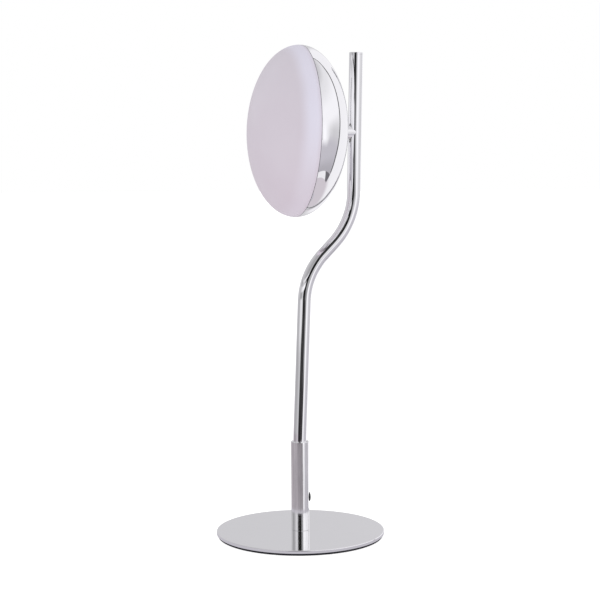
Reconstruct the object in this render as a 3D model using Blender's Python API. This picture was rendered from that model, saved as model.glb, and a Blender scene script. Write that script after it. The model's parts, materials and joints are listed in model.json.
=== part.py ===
"""Lighted vanity mirror: a lens-shaped lit head on a ball joint, an S-bent stem, a sleeve and a round base.

The origin is the middle of the base, on the surface that the object stands on. +Z is up, the lit
front faces -Y, and the stem's upper run stands behind the head, on the +Y side. Lengths are metres.
"""
import math

import bmesh
import bpy
from mathutils import Matrix, Vector

MM = 0.001
GAP = 0.3 * MM                      # left between pieces that touch
MERGE = 0.001 * MM
CUTTER_HALF = 20 * MM

# Base
BASE_RADIUS = 90 * MM
BASE_TOP = 5.7 * MM
BASE_BEVEL = 0.4 * MM
PAD_RADIUS = 88.5 * MM
PAD_TOP = 2.1 * MM
PAD_HOLE = 13 * MM
PLATE_BOTTOM = PAD_TOP + GAP

# Sleeve, and what it holds
SLEEVE_RADIUS = 9.7 * MM
SLEEVE_BORE = 7.45 * MM
SLEEVE_BOTTOM = BASE_TOP + GAP
SLEEVE_TOP = 102 * MM
SLEEVE_MOUTH = 0.5 * MM             # chamfer of the bore's mouth
PLUG_TOP = 20 * MM
BOLT_RADIUS = 3 * MM
BOLT_HEAD_RADIUS = 6 * MM
BOLT_TOP = 18 * MM
BUSH_BOTTOM = 47 * MM
BUSH_BORE = 3.5 * MM
CORD_HOLE_HEIGHT = 41 * MM
CORD_HOLE_RADIUS = 4.2 * MM
CORD_BORE = 3.3 * MM
CORD_FLANGE_RADIUS = 5.2 * MM
CORD_FLANGE_BACK = 10.4 * MM
CORD_FLANGE_EDGE = 0.3 * MM

# Stem: its centre line lies in the plane X = 0
STEM_RADIUS = 7.25 * MM
STEM_BORE = 6.05 * MM
STEM_FOOT = 57 * MM
STEM_TOP = 514.7 * MM               # the middle of its top face
CAP_THICKNESS = 2.2 * MM
CAP_SPIGOT = 5 * MM
CAP_ROUND = 0.6 * MM
FOOT_RUN = 40 * MM
LEAN = math.radians(2.3)            # of the lower run, towards +Y
LEAN_RADIUS = 400 * MM
LOWER_RUN = 139.5 * MM
BEND_SLOPE = math.radians(44.5)     # of the run between the two bends
LOWER_BEND_RADIUS = 73.5 * MM
MIDDLE_RUN = 16.8 * MM
UPPER_BEND_RADIUS = 80 * MM
UPPER_LEAN = math.radians(1.15)     # of the upper run, towards +Y
GROOVE_HEIGHT = 86 * MM
GROOVE_FLOOR = 6.45 * MM
GROOVE_HALF = 1.9 * MM
SET_SCREW_TIP = GROOVE_FLOOR + GAP
SET_SCREW_RADIUS = 1.5 * MM

# Head, as if it faced straight ahead: the seam between its two halves lies in the plane Y = SEAM_Y.
# The whole head is then turned about the ball's centre, so that it looks up a little.
HEAD_HEIGHT = 430.7 * MM
HEAD_TILT = math.radians(-1.9)
SEAM_Y = -1.6 * MM
HEAD_RADIUS = 90 * MM
HEAD_DEPTH = 48.8 * MM              # of each half
SHELL_WALL = 1.2 * MM
SHELL_OPENING = 10.2 * MM
DIFFUSER_WALL = 2.5 * MM
DIFFUSER_INNER_EDGE = 84.6 * MM     # where its inner face meets the collar
COLLAR_OUTER = 87.9 * MM
COLLAR_INNER = 86.2 * MM
COLLAR_BACK = 4.8 * MM              # behind the seam
COLLAR_FRONT = 3.2 * MM             # in front of the seam

# Ball joint
BALL_Y = 34.4 * MM
BALL_RADIUS = 10 * MM
BALL_FRONT_RADIUS = 6 * MM          # of its flat front
BALL_MOUTH = 5.5 * MM
LINER_BORE = BALL_RADIUS + GAP
LINER_RADIUS = 12.3 * MM
SOCKET_BORE = LINER_RADIUS + GAP
SOCKET_RADIUS = 24 * MM
SOCKET_SCREW_CIRCLE = 19.5 * MM
SOCKET_FLANGE = 3.4 * MM            # how far its front flange reaches forward of the ball's centre
NECK_RADIUS = 5 * MM
NECK_BORE = 3 * MM
NECK_END = 54.2 * MM
STUB_FRONT = 50.9 * MM
LEAD_HOLE = 3.3 * MM                # radius of the way for the lead, from the stem into the stub

# Inside the head, as distances along Y
PLATE_FRONT = 4.7 * MM
PLATE_BACK = 6.2 * MM
PLATE_RADIUS = 83 * MM
POST_RADIUS = 3.5 * MM
POST_CIRCLE = 55 * MM
BOARD_RADIUS = 48 * MM
BOARD_HOLE = 5 * MM
BOARD_THICKNESS = 1.6 * MM
BOARD_BACK = PLATE_FRONT - GAP
BOARD_FRONT = BOARD_BACK - BOARD_THICKNESS
BOARD_SCREW_CIRCLE = 43 * MM
CHIP_SIZE = 3 * MM
CHIP_HEIGHT = 0.8 * MM
CHIP_CIRCLES = ((15 * MM, 6), (31 * MM, 12))
RING_SCREW_CIRCLE = 78 * MM
RING_OUTER = COLLAR_INNER - GAP
RING_INNER = 75 * MM
RING_WALL = 2 * MM
RING_FLOOR = 1.5 * MM
RING_FRONT = -3.3 * MM
DRIVER_LOW = Vector((-29 * MM, PLATE_BACK + GAP, HEAD_HEIGHT - 56 * MM))
DRIVER_HIGH = Vector((29 * MM, 22.7 * MM, HEAD_HEIGHT - 28 * MM))
DRIVER_EAR = 37 * MM
DRIVER_EAR_THICKNESS = 2 * MM
DRIVER_EAR_HALF = 4.5 * MM
EAR_STEP = 0.1 * MM
DRIVER_SCREW_X = 33 * MM
BLOCK_LOW = Vector((-9 * MM, PLATE_BACK + GAP, HEAD_HEIGHT + 28 * MM))
BLOCK_HIGH = Vector((9 * MM, 16.2 * MM, HEAD_HEIGHT + 40 * MM))
LED_LEAD_HOLE = (-12 * MM, -8 * MM)
LED_LEAD_HOLE_RADIUS = 4 * MM

# Small screws
SCREW_RADIUS = 1.5 * MM
SCREW_HOLE = SCREW_RADIUS + GAP
SCREW_HEAD_RADIUS = 2.8 * MM
SCREW_HEAD_HEIGHT = 1.4 * MM
SCREW_SOCKET_RADIUS = 1.2 * MM
SCREW_SOCKET_DEPTH = 0.9 * MM

MAINS_LEAD_RADIUS = 2 * MM
THIN_LEAD_RADIUS = 1.5 * MM
LEAD_BREAK = 2 * MM                 # on each side of the ball's centre

# Sides of round pieces
FINE = 48
MEDIUM = 32
STEM_SIDES = 24
ROUND = 20
HOLE_SIDES = 16
POST_SIDES = 12
SMALL = 8

FACING = {
    "+Z": (0.0, 0.0, 0.0),
    "+Y": (-math.pi / 2, 0.0, 0.0),
    "-Y": (math.pi / 2, 0.0, 0.0),
    "-X": (0.0, -math.pi / 2, 0.0),
}

# Colour, roughness, metallic
FINISHES = {
    "chrome": ((0.82, 0.82, 0.84), 0.06, 1.0),
    "steel": ((0.60, 0.60, 0.62), 0.30, 1.0),
    "aluminium": ((0.78, 0.79, 0.80), 0.35, 1.0),
    "opal": ((0.86, 0.84, 0.87), 0.35, 0.0),
    "white": ((0.88, 0.88, 0.86), 0.45, 0.0),
    "nylon": ((0.80, 0.79, 0.74), 0.50, 0.0),
    "dark_plastic": ((0.05, 0.05, 0.06), 0.50, 0.0),
    "rubber": ((0.015, 0.015, 0.03), 0.70, 0.0),
    "board": ((0.85, 0.86, 0.84), 0.40, 0.0),
    "lead": ((0.75, 0.75, 0.76), 0.55, 0.0),
}


# ---------------------------------------------------------------- tools

def clear_scene():
    for obj in list(bpy.data.objects):
        bpy.data.objects.remove(obj)


def give_finish(obj, finish):
    """Give an object a material of its own; with no finish it is a cutter or a guide."""
    if finish is None:
        obj.hide_render = True
        obj.display_type = "WIRE"
        return
    colour, roughness, metallic = FINISHES[finish]
    material = bpy.data.materials.new(obj.name + "_finish")
    material.use_nodes = True
    shader = material.node_tree.nodes["Principled BSDF"]
    shader.inputs["Base Color"].default_value = (*colour, 1.0)
    shader.inputs["Roughness"].default_value = roughness
    shader.inputs["Metallic"].default_value = metallic
    obj.data.materials.append(material)


def add_object(name, data, finish, location=(0, 0, 0), facing="+Z", pivot=None):
    """Put mesh or curve data in the scene, at a place in the object's frame."""
    obj = bpy.data.objects.new(name, data)
    bpy.context.collection.objects.link(obj)
    obj.location = Vector(location)
    obj.rotation_euler = FACING[facing]
    if pivot is not None:
        obj.parent = pivot
        obj.location -= pivot.location
    give_finish(obj, finish)
    return obj


def mesh_from(name, bm):
    bmesh.ops.recalc_face_normals(bm, faces=bm.faces)
    mesh = bpy.data.meshes.new(name)
    bm.to_mesh(mesh)
    bm.free()
    mesh.shade_smooth()
    mesh.set_sharp_from_angle(angle=math.radians(30))
    return mesh


def turned_mesh(name, outline, sides):
    """Turn an outline of (radius, height) points about Z.

    An outline that starts and ends on the axis stays open there, and any other one is a ring.
    """
    bm = bmesh.new()
    verts = [bm.verts.new((radius, 0.0, height)) for radius, height in outline]
    on_axis = outline[0][0] == 0 and outline[-1][0] == 0
    first = 1 if on_axis else 0
    edges = [bm.edges.new((verts[i - 1], verts[i])) for i in range(first, len(verts))]
    bmesh.ops.spin(bm, geom=verts + edges, cent=(0, 0, 0), axis=(0, 0, 1), angle=2 * math.pi, steps=sides)
    bmesh.ops.remove_doubles(bm, verts=bm.verts, dist=MERGE)
    return mesh_from(name, bm)


def rod_outline(radius, low, high):
    return [(0, high), (radius, high), (radius, low), (0, low)]


def turned(name, outline, sides, finish, location=(0, 0, 0), facing="+Z", pivot=None):
    return add_object(name, turned_mesh(name, outline, sides), finish, location, facing, pivot)


def block(name, low, high, bevel, finish, pivot=None):
    """A block with rounded edges, between two corners."""
    bm = bmesh.new()
    size = high - low
    bmesh.ops.create_cube(bm, size=1.0, matrix=Matrix.Diagonal((*size, 1.0)))
    obj = add_object(name, mesh_from(name, bm), finish, (low + high) / 2, pivot=pivot)
    if bevel:
        modifier = obj.modifiers.new("edges", "BEVEL")
        modifier.width = bevel
        modifier.segments = 2
    return obj


def boolean(obj, other, operation):
    modifier = obj.modifiers.new(operation.lower(), "BOOLEAN")
    modifier.operation = operation
    modifier.object = other


def drill(obj, spots, radius, front, back, sides=SMALL):
    """Drill holes along Y through a piece of the head, at spots (x, z) about the head's axis."""
    bm = bmesh.new()
    for x, z in spots:
        middle = Matrix.Translation((x, (front + back) / 2, HEAD_HEIGHT + z))
        bmesh.ops.create_cone(
            bm, cap_ends=True, segments=sides, radius1=radius, radius2=radius, depth=back - front,
            matrix=middle @ Matrix.Rotation(math.pi / 2, 4, "X"))
    cutter = add_object(obj.name + "_drill", mesh_from(obj.name + "_drill", bm), None, pivot=obj.parent)
    boolean(obj, cutter, "DIFFERENCE")


def circle_spots(radius, count, start_degrees=90):
    """Spots (x, z) spaced evenly round a circle."""
    angles = [math.radians(start_degrees + 360 * i / count) for i in range(count)]
    return [(radius * math.cos(a), radius * math.sin(a)) for a in angles]


def lens_height(radius, rim_radius, depth):
    """How far a half lens stands off the seam, at a radius from its axis."""
    return depth * math.sqrt(1 - (radius / rim_radius) ** 2)


def lens_arc(rim_radius, depth, first, last, steps):
    """Points (radius, height) along a half lens, from one radius to another."""
    start = math.acos(first / rim_radius)
    end = math.acos(last / rim_radius)
    angles = [start + (end - start) * i / steps for i in range(steps + 1)]
    return [(rim_radius * math.cos(a) if a < math.pi / 2 else 0.0, depth * math.sin(a)) for a in angles]


def ball_arc(radius, first_degrees, last_degrees, steps):
    """Points (radius, height) along a sphere, by the angle from its +height pole."""
    step = (last_degrees - first_degrees) / steps
    angles = [math.radians(first_degrees + step * i) for i in range(steps + 1)]
    return [(radius * math.sin(a), radius * math.cos(a)) for a in angles]


def screw(name, seat, length, facing, pivot, finish="steel"):
    """A pan-head screw whose head rises from its seat in the direction it faces."""
    outline = [
        (0, SCREW_HEAD_HEIGHT - SCREW_SOCKET_DEPTH),
        (SCREW_SOCKET_RADIUS, SCREW_HEAD_HEIGHT - SCREW_SOCKET_DEPTH),
        (SCREW_SOCKET_RADIUS, SCREW_HEAD_HEIGHT),
        (SCREW_HEAD_RADIUS * 0.85, SCREW_HEAD_HEIGHT),
        (SCREW_HEAD_RADIUS, 0),
        (SCREW_RADIUS, 0),
        (SCREW_RADIUS, -length),
        (0, -length),
    ]
    return turned(name, outline, SMALL, finish, seat, facing, pivot)


def smooth_route(points, steps):
    """A smooth curve through hand-placed points (Catmull-Rom), as a list of vectors."""
    spots = [Vector(p) for p in points]
    spots = [2 * spots[0] - spots[1]] + spots + [2 * spots[-1] - spots[-2]]
    route = []
    for a, b, c, d in zip(spots, spots[1:], spots[2:], spots[3:]):
        for i in range(steps):
            t = i / steps
            route.append(0.5 * (2 * b + (c - a) * t + (2 * a - 5 * b + 4 * c - d) * t**2
                                + (3 * b - a - 3 * c + d) * t**3))
    return route + [spots[-2]]


def lead(name, route, radius, pivot=None):
    """A flexible lead: a curve with a round section and closed ends."""
    origin = pivot.location if pivot else Vector((0, 0, 0))
    curve = bpy.data.curves.new(name, "CURVE")
    curve.dimensions = "3D"
    curve.bevel_depth = radius
    curve.bevel_resolution = 2
    curve.use_fill_caps = True
    spline = curve.splines.new("POLY")
    spline.points.add(len(route) - 1)
    for point, spot in zip(spline.points, route):
        point.co = (*(spot - origin), 1.0)
    return add_object(name, curve, "lead", origin, pivot=pivot)


# ---------------------------------------------------------------- base

def make_base_pad():
    outline = [(PAD_HOLE, PAD_TOP), (PAD_RADIUS, PAD_TOP), (PAD_RADIUS, 0), (PAD_HOLE, 0)]
    turned("base_pad", outline, FINE, "rubber")


def make_base_plate():
    hole = BOLT_RADIUS + GAP
    countersink = BOLT_HEAD_RADIUS + 2 * GAP
    outline = [
        (hole, BASE_TOP),
        (BASE_RADIUS - BASE_BEVEL, BASE_TOP),
        (BASE_RADIUS - 0.3 * BASE_BEVEL, BASE_TOP - 0.3 * BASE_BEVEL),
        (BASE_RADIUS, BASE_TOP - BASE_BEVEL),
        (BASE_RADIUS, PLATE_BOTTOM + GAP),
        (BASE_RADIUS - GAP, PLATE_BOTTOM),
        (countersink, PLATE_BOTTOM),
        (hole, PLATE_BOTTOM + countersink - hole),
    ]
    turned("base_plate", outline, FINE, "chrome")


def make_base_bolt():
    head_bottom = PLATE_BOTTOM + GAP
    socket = 2 * MM
    outline = [
        (0, head_bottom + socket),
        (socket, head_bottom + socket),
        (socket, head_bottom),
        (BOLT_HEAD_RADIUS, head_bottom),
        (BOLT_RADIUS, head_bottom + BOLT_HEAD_RADIUS - BOLT_RADIUS),
        (BOLT_RADIUS, BOLT_TOP),
        (0, BOLT_TOP),
    ]
    turned("base_bolt", outline, HOLE_SIDES, "steel")


def make_sleeve_plug():
    hole = BOLT_RADIUS + GAP
    outer = SLEEVE_BORE - GAP
    outline = [(hole, PLUG_TOP), (outer, PLUG_TOP), (outer, SLEEVE_BOTTOM), (hole, SLEEVE_BOTTOM)]
    turned("sleeve_plug", outline, ROUND, "steel")


def make_stem_sleeve():
    """The sleeve, with a hole behind for the cord and one at -X for the set screw."""
    edge = 0.35 * MM
    outline = [
        (SLEEVE_BORE, SLEEVE_TOP - 2 * MM),
        (SLEEVE_BORE + SLEEVE_MOUTH, SLEEVE_TOP),
        (SLEEVE_RADIUS - edge, SLEEVE_TOP),
        (SLEEVE_RADIUS, SLEEVE_TOP - edge),
        (SLEEVE_RADIUS, SLEEVE_BOTTOM),
        (SLEEVE_BORE, SLEEVE_BOTTOM),
    ]
    sleeve = turned("stem_sleeve", outline, MEDIUM, "chrome")
    reach = 2 * SLEEVE_RADIUS
    cord_cut = turned(
        "cord_cut", rod_outline(CORD_HOLE_RADIUS, 0, reach), ROUND, None, (0, 0, CORD_HOLE_HEIGHT), "+Y")
    boolean(sleeve, cord_cut, "DIFFERENCE")
    hole = SET_SCREW_RADIUS + GAP
    screw_cut = turned(
        "set_screw_cut", rod_outline(hole, 0, reach), SMALL, None, (0, 0, GROOVE_HEIGHT), "-X")
    boolean(sleeve, screw_cut, "DIFFERENCE")


def make_cord_bushing():
    """A rubber bushing whose flange is hollowed to sit on the round sleeve."""
    neck = CORD_HOLE_RADIUS - GAP
    neck_front = SLEEVE_BORE + GAP
    flange_front = 8 * MM
    outline = [
        (CORD_BORE, CORD_FLANGE_BACK),
        (CORD_FLANGE_RADIUS - CORD_FLANGE_EDGE, CORD_FLANGE_BACK),
        (CORD_FLANGE_RADIUS, CORD_FLANGE_BACK - CORD_FLANGE_EDGE),
        (CORD_FLANGE_RADIUS, flange_front),
        (CORD_BORE, flange_front),
    ]
    flange = turned("cord_bushing", outline, ROUND, "rubber", (0, 0, CORD_HOLE_HEIGHT), "+Y")
    saddle_radius = SLEEVE_RADIUS + GAP
    saddle = turned(
        "saddle_cut", rod_outline(saddle_radius, -CUTTER_HALF, CUTTER_HALF), MEDIUM, None,
        (0, 0, CORD_HOLE_HEIGHT))
    boolean(flange, saddle, "DIFFERENCE")
    neck_back = SLEEVE_RADIUS + 2 * GAP
    neck_outline = [(CORD_BORE, neck_back), (neck, neck_back), (neck, neck_front), (CORD_BORE, neck_front)]
    neck_piece = turned("bushing_neck", neck_outline, ROUND, None, (0, 0, CORD_HOLE_HEIGHT), "+Y")
    boolean(flange, neck_piece, "UNION")


def make_stem_foot_bush():
    outer = SLEEVE_BORE - GAP
    top = STEM_FOOT - GAP
    outline = [(BUSH_BORE, top), (outer, top), (outer, BUSH_BOTTOM), (BUSH_BORE, BUSH_BOTTOM)]
    turned("stem_foot_bush", outline, ROUND, "nylon")


def make_stem_set_screw():
    """The screw's tip stands in the stem's groove, and its socket is just under the sleeve's skin."""
    back = SLEEVE_RADIUS - GAP
    socket = 0.7 * MM
    outline = [
        (0, back - 2 * socket),
        (socket, back - 2 * socket),
        (socket, back),
        (SET_SCREW_RADIUS, back),
        (SET_SCREW_RADIUS, SET_SCREW_TIP),
        (0, SET_SCREW_TIP),
    ]
    turned("stem_set_screw", outline, SMALL, "steel", (0, 0, GROOVE_HEIGHT), "-X")


# ---------------------------------------------------------------- stem

def add_run(stations, length):
    y, z, slope = stations[-1]
    stations.append((y + length * math.sin(slope), z + length * math.cos(slope), slope))


def add_bend(stations, radius, new_slope, steps):
    y, z, slope = stations[-1]
    side = 1 if new_slope > slope else -1
    for i in range(1, steps + 1):
        s = slope + (new_slope - slope) * i / steps
        stations.append((
            y + side * radius * (math.cos(slope) - math.cos(s)),
            z + side * radius * (math.sin(s) - math.sin(slope)), s))


def stem_stations():
    """Stations (y, z, slope) of the stem's centre line, up to the cap."""
    stations = [(0.0, STEM_FOOT, 0.0)]
    add_run(stations, FOOT_RUN)
    add_bend(stations, LEAN_RADIUS, LEAN, 2)
    add_run(stations, LOWER_RUN)
    add_bend(stations, LOWER_BEND_RADIUS, BEND_SLOPE, 7)
    add_run(stations, MIDDLE_RUN)
    add_bend(stations, UPPER_BEND_RADIUS, UPPER_LEAN, 7)
    add_run(stations, (STEM_TOP - stations[-1][1]) / math.cos(UPPER_LEAN) - CAP_THICKNESS - GAP)
    return stations


def upper_run_y(z):
    """How far behind the base's middle the upper run's centre line is, at a height."""
    end_y, end_z, slope = stem_stations()[-1]
    return end_y - (end_z - z) * math.tan(slope)


STEM_BACK = upper_run_y(HEAD_HEIGHT)
STEM_TOP_Y = upper_run_y(STEM_TOP)


def tube_ring(bm, station, radius, sides):
    y, z, slope = station
    ring = []
    for i in range(sides):
        turn = 2 * math.pi * i / sides
        across = radius * math.sin(turn)
        ring.append(bm.verts.new((
            radius * math.cos(turn), y + across * math.cos(slope), z - across * math.sin(slope))))
    return ring


def make_stem_tube():
    """The bent tube, with a groove for the set screw and a hole into the stub."""
    stations = stem_stations()
    bm = bmesh.new()
    rings = [tube_ring(bm, s, STEM_RADIUS, STEM_SIDES) for s in stations]
    rings += [tube_ring(bm, s, STEM_BORE, STEM_SIDES) for s in reversed(stations)]
    for ring, following in zip(rings, rings[1:] + rings[:1]):
        for i in range(STEM_SIDES):
            j = (i + 1) % STEM_SIDES
            bm.faces.new((ring[i], ring[j], following[j], following[i]))
    tube = add_object("stem_tube", mesh_from("stem_tube", bm), "chrome")
    low = GROOVE_HEIGHT - GROOVE_HALF
    high = GROOVE_HEIGHT + GROOVE_HALF
    groove = [(GROOVE_FLOOR, high), (SLEEVE_RADIUS, high), (SLEEVE_RADIUS, low), (GROOVE_FLOOR, low)]
    boolean(tube, turned("groove_cut", groove, STEM_SIDES, None), "DIFFERENCE")
    hole = rod_outline(LEAD_HOLE, 0, 2 * STEM_RADIUS)
    lead_cut = turned("lead_cut", hole, HOLE_SIDES, None, (0, STEM_BACK, HEAD_HEIGHT), "-Y")
    boolean(tube, lead_cut, "DIFFERENCE")


def make_stem_top_cap():
    disc_bottom = -CAP_THICKNESS
    spigot = STEM_BORE - GAP
    outline = [
        (0, 0),
        (STEM_RADIUS - CAP_ROUND, 0),
        (STEM_RADIUS - 0.3 * CAP_ROUND, -0.3 * CAP_ROUND),
        (STEM_RADIUS, -CAP_ROUND),
        (STEM_RADIUS, disc_bottom),
        (spigot, disc_bottom),
        (spigot, disc_bottom - CAP_SPIGOT),
        (0, disc_bottom - CAP_SPIGOT),
    ]
    cap = turned("stem_top_cap", outline, STEM_SIDES, "chrome", (0, STEM_TOP_Y, STEM_TOP))
    cap.rotation_euler.x = -UPPER_LEAN


def make_neck_stub():
    """The short tube whose rear end is coped to the stem."""
    socket = NECK_RADIUS + GAP
    socket_end = NECK_END + GAP
    edge = 0.4 * MM
    outline = [
        (LEAD_HOLE, STEM_BACK),
        (STEM_RADIUS, STEM_BACK),
        (STEM_RADIUS, STUB_FRONT + edge),
        (STEM_RADIUS - edge, STUB_FRONT),
        (socket, STUB_FRONT),
        (socket, socket_end),
        (LEAD_HOLE, socket_end),
    ]
    stub = turned("neck_stub", outline, STEM_SIDES, "chrome", (0, 0, HEAD_HEIGHT), "+Y")
    cope_radius = STEM_RADIUS + GAP
    cope = rod_outline(cope_radius, -CUTTER_HALF, CUTTER_HALF)
    cope_cut = turned("cope_cut", cope, STEM_SIDES, None, (0, STEM_BACK, HEAD_HEIGHT))
    cope_cut.rotation_euler.x = -UPPER_LEAN
    boolean(stub, cope_cut, "DIFFERENCE")


def make_swivel_ball():
    """A ball on a hollow nipple. The bore flares forward, so the lead can swing in it."""
    front_degrees = 180 - math.degrees(math.asin(BALL_FRONT_RADIUS / BALL_RADIUS))
    neck_degrees = math.degrees(math.asin(NECK_RADIUS / BALL_RADIUS))
    front = BALL_RADIUS * math.cos(math.radians(front_degrees))
    nipple_end = NECK_END - BALL_Y
    outline = [(NECK_BORE, nipple_end), (NECK_RADIUS, nipple_end)]
    outline += ball_arc(BALL_RADIUS, neck_degrees, front_degrees, 8)
    outline += [(BALL_MOUTH, front), (NECK_BORE, 0)]
    turned("swivel_ball", outline, ROUND, "steel", (0, BALL_Y, HEAD_HEIGHT), "+Y")


def make_stem_lead():
    """The mains lead, from the stem's foot to the ball's centre, where it is broken."""
    bend = 9 * MM
    corner_y = STEM_BACK - STEM_BORE
    corner_z = HEAD_HEIGHT - bend
    route = [Vector((0, 0, BUSH_BOTTOM))]
    route += [Vector((0, y, z)) for y, z, slope in stem_stations()[1:-1]]
    for below, behind in ((25 * MM, 0), (12 * MM, 1.5 * MM)):
        route.append(Vector((0, upper_run_y(corner_z - below) + behind, corner_z - below)))
    for i in range(7):
        a = math.radians(15 * i)
        route.append(Vector((0, corner_y + bend * math.cos(a), corner_z + bend * math.sin(a))))
    route += [Vector((0, y, HEAD_HEIGHT)) for y in (NECK_END, BALL_Y + LEAD_BREAK)]
    lead("stem_lead", route, MAINS_LEAD_RADIUS)


# ---------------------------------------------------------------- ball joint

def make_ball_liner(pivot):
    outline = ball_arc(LINER_RADIUS, 46, 140, 6) + ball_arc(LINER_BORE, 140, 46, 6)
    turned("ball_liner", outline, ROUND, "nylon", (0, BALL_Y, HEAD_HEIGHT), "+Y", pivot)


def inner_shell_y(radius):
    """Where the rear shell's inner face is, at a radius from the head's axis."""
    return SEAM_Y + lens_height(radius, HEAD_RADIUS - SHELL_WALL, HEAD_DEPTH - SHELL_WALL)


def make_socket_rear(pivot):
    """The half that is fixed inside the shell, round its opening."""
    flange_edges = [11.5 * MM, 17 * MM, SOCKET_RADIUS]
    rear_face = [(r, inner_shell_y(r) - BALL_Y - GAP) for r in flange_edges]
    seat = ball_arc(SOCKET_BORE, 48, 89.3, 3)
    outline = rear_face + [(SOCKET_RADIUS, seat[-1][1])] + seat[::-1]
    piece = turned("socket_rear", outline, ROUND, "aluminium", (0, BALL_Y, HEAD_HEIGHT), "+Y", pivot)
    drill(piece, circle_spots(SOCKET_SCREW_CIRCLE, 3), SCREW_HOLE, BALL_Y - 2 * MM, BALL_Y + 6 * MM)


def make_socket_front(pivot):
    """The half that closes the socket, with an opening in front for the lead."""
    seat = ball_arc(SOCKET_BORE, 90.7, 140, 3)
    flange_front = -SOCKET_FLANGE
    cup_radius = 15 * MM
    cup_shoulder = -6 * MM
    cup_edge = 11 * MM
    cup_front = -11.2 * MM
    outline = [
        (SOCKET_RADIUS, seat[0][1]),
        (SOCKET_RADIUS, flange_front),
        (cup_radius, flange_front),
        (cup_radius, cup_shoulder),
        (cup_edge, cup_front),
        (seat[-1][0], cup_front),
    ]
    outline += seat[::-1]
    piece = turned("socket_front", outline, ROUND, "aluminium", (0, BALL_Y, HEAD_HEIGHT), "+Y", pivot)
    drill(piece, circle_spots(SOCKET_SCREW_CIRCLE, 3), SCREW_HOLE, BALL_Y - 6 * MM, BALL_Y + 2 * MM)
    for i, (x, z) in enumerate(circle_spots(SOCKET_SCREW_CIRCLE, 3), 1):
        seat_y = BALL_Y + flange_front - GAP
        screw(f"socket_screw_{i}", (x, seat_y, HEAD_HEIGHT + z), 8 * MM, "-Y", pivot)


# ---------------------------------------------------------------- head

def make_rear_shell(pivot):
    outer = lens_arc(HEAD_RADIUS, HEAD_DEPTH, HEAD_RADIUS, SHELL_OPENING, 9)
    inner_rim = HEAD_RADIUS - SHELL_WALL
    inner = lens_arc(inner_rim, HEAD_DEPTH - SHELL_WALL, SHELL_OPENING, inner_rim, 9)
    turned("rear_shell", outer + inner, FINE, "chrome", (0, SEAM_Y, HEAD_HEIGHT), "+Y", pivot)


def make_diffuser(pivot):
    """The opal front, with a collar that reaches into the shell; its heights run forward."""
    inner_rim = HEAD_RADIUS - DIFFUSER_WALL
    inner_depth = HEAD_DEPTH - DIFFUSER_WALL
    shoulder = HEAD_RADIUS * math.sqrt(1 - (GAP / HEAD_DEPTH) ** 2)
    outer = lens_arc(HEAD_RADIUS, HEAD_DEPTH, shoulder, 0, 9)
    inner = lens_arc(inner_rim, inner_depth, 0, DIFFUSER_INNER_EDGE, 8)
    collar = [
        (COLLAR_INNER, COLLAR_FRONT),
        (COLLAR_INNER, -COLLAR_BACK),
        (COLLAR_OUTER, -COLLAR_BACK),
        (COLLAR_OUTER, GAP),
    ]
    outline = inner + collar + outer
    turned("diffuser", outline, FINE, "opal", (0, SEAM_Y, HEAD_HEIGHT), "-Y", pivot)


def make_mount_posts(pivot):
    """Posts whose rear ends follow the shell's inner face; the plate is screwed to their front ends."""
    front = PLATE_BACK + GAP
    hole_end = front + 9 * MM
    rear = inner_shell_y(POST_CIRCLE)
    outline = [
        (0, hole_end),
        (SCREW_HOLE, hole_end),
        (SCREW_HOLE, front),
        (POST_RADIUS, front),
        (POST_RADIUS, rear),
        (0, rear),
    ]
    for i, (x, z) in enumerate(circle_spots(POST_CIRCLE, 3), 1):
        mesh = turned_mesh(f"mount_post_{i}", outline, POST_SIDES)
        for vert in mesh.vertices:
            if vert.co.z > rear - MERGE:
                from_axis = math.hypot(x + vert.co.x, z - vert.co.y)
                vert.co.z = inner_shell_y(from_axis) - GAP
        add_object(f"mount_post_{i}", mesh, "aluminium", (x, 0, HEAD_HEIGHT + z), "+Y", pivot)
        screw(f"plate_screw_{i}", (x, PLATE_FRONT - GAP, HEAD_HEIGHT + z), 9 * MM, "-Y", pivot)


def driver_screw_spots():
    middle = (DRIVER_LOW.z + DRIVER_HIGH.z) / 2 - HEAD_HEIGHT
    return [(-DRIVER_SCREW_X, middle), (DRIVER_SCREW_X, middle)]


def make_mount_plate(pivot):
    outline = [(0, PLATE_BACK), (PLATE_RADIUS, PLATE_BACK), (PLATE_RADIUS, PLATE_FRONT), (0, PLATE_FRONT)]
    plate = turned("mount_plate", outline, FINE, "aluminium", (0, 0, HEAD_HEIGHT), "+Y", pivot)
    spots = circle_spots(POST_CIRCLE, 3)
    spots += circle_spots(BOARD_SCREW_CIRCLE, 3, 30)
    spots += circle_spots(RING_SCREW_CIRCLE, 3, 30)
    spots += driver_screw_spots()
    drill(plate, spots, SCREW_HOLE, PLATE_FRONT - MM, PLATE_BACK + MM)
    drill(plate, [LED_LEAD_HOLE], LED_LEAD_HOLE_RADIUS, PLATE_FRONT - MM, PLATE_BACK + MM)


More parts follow.
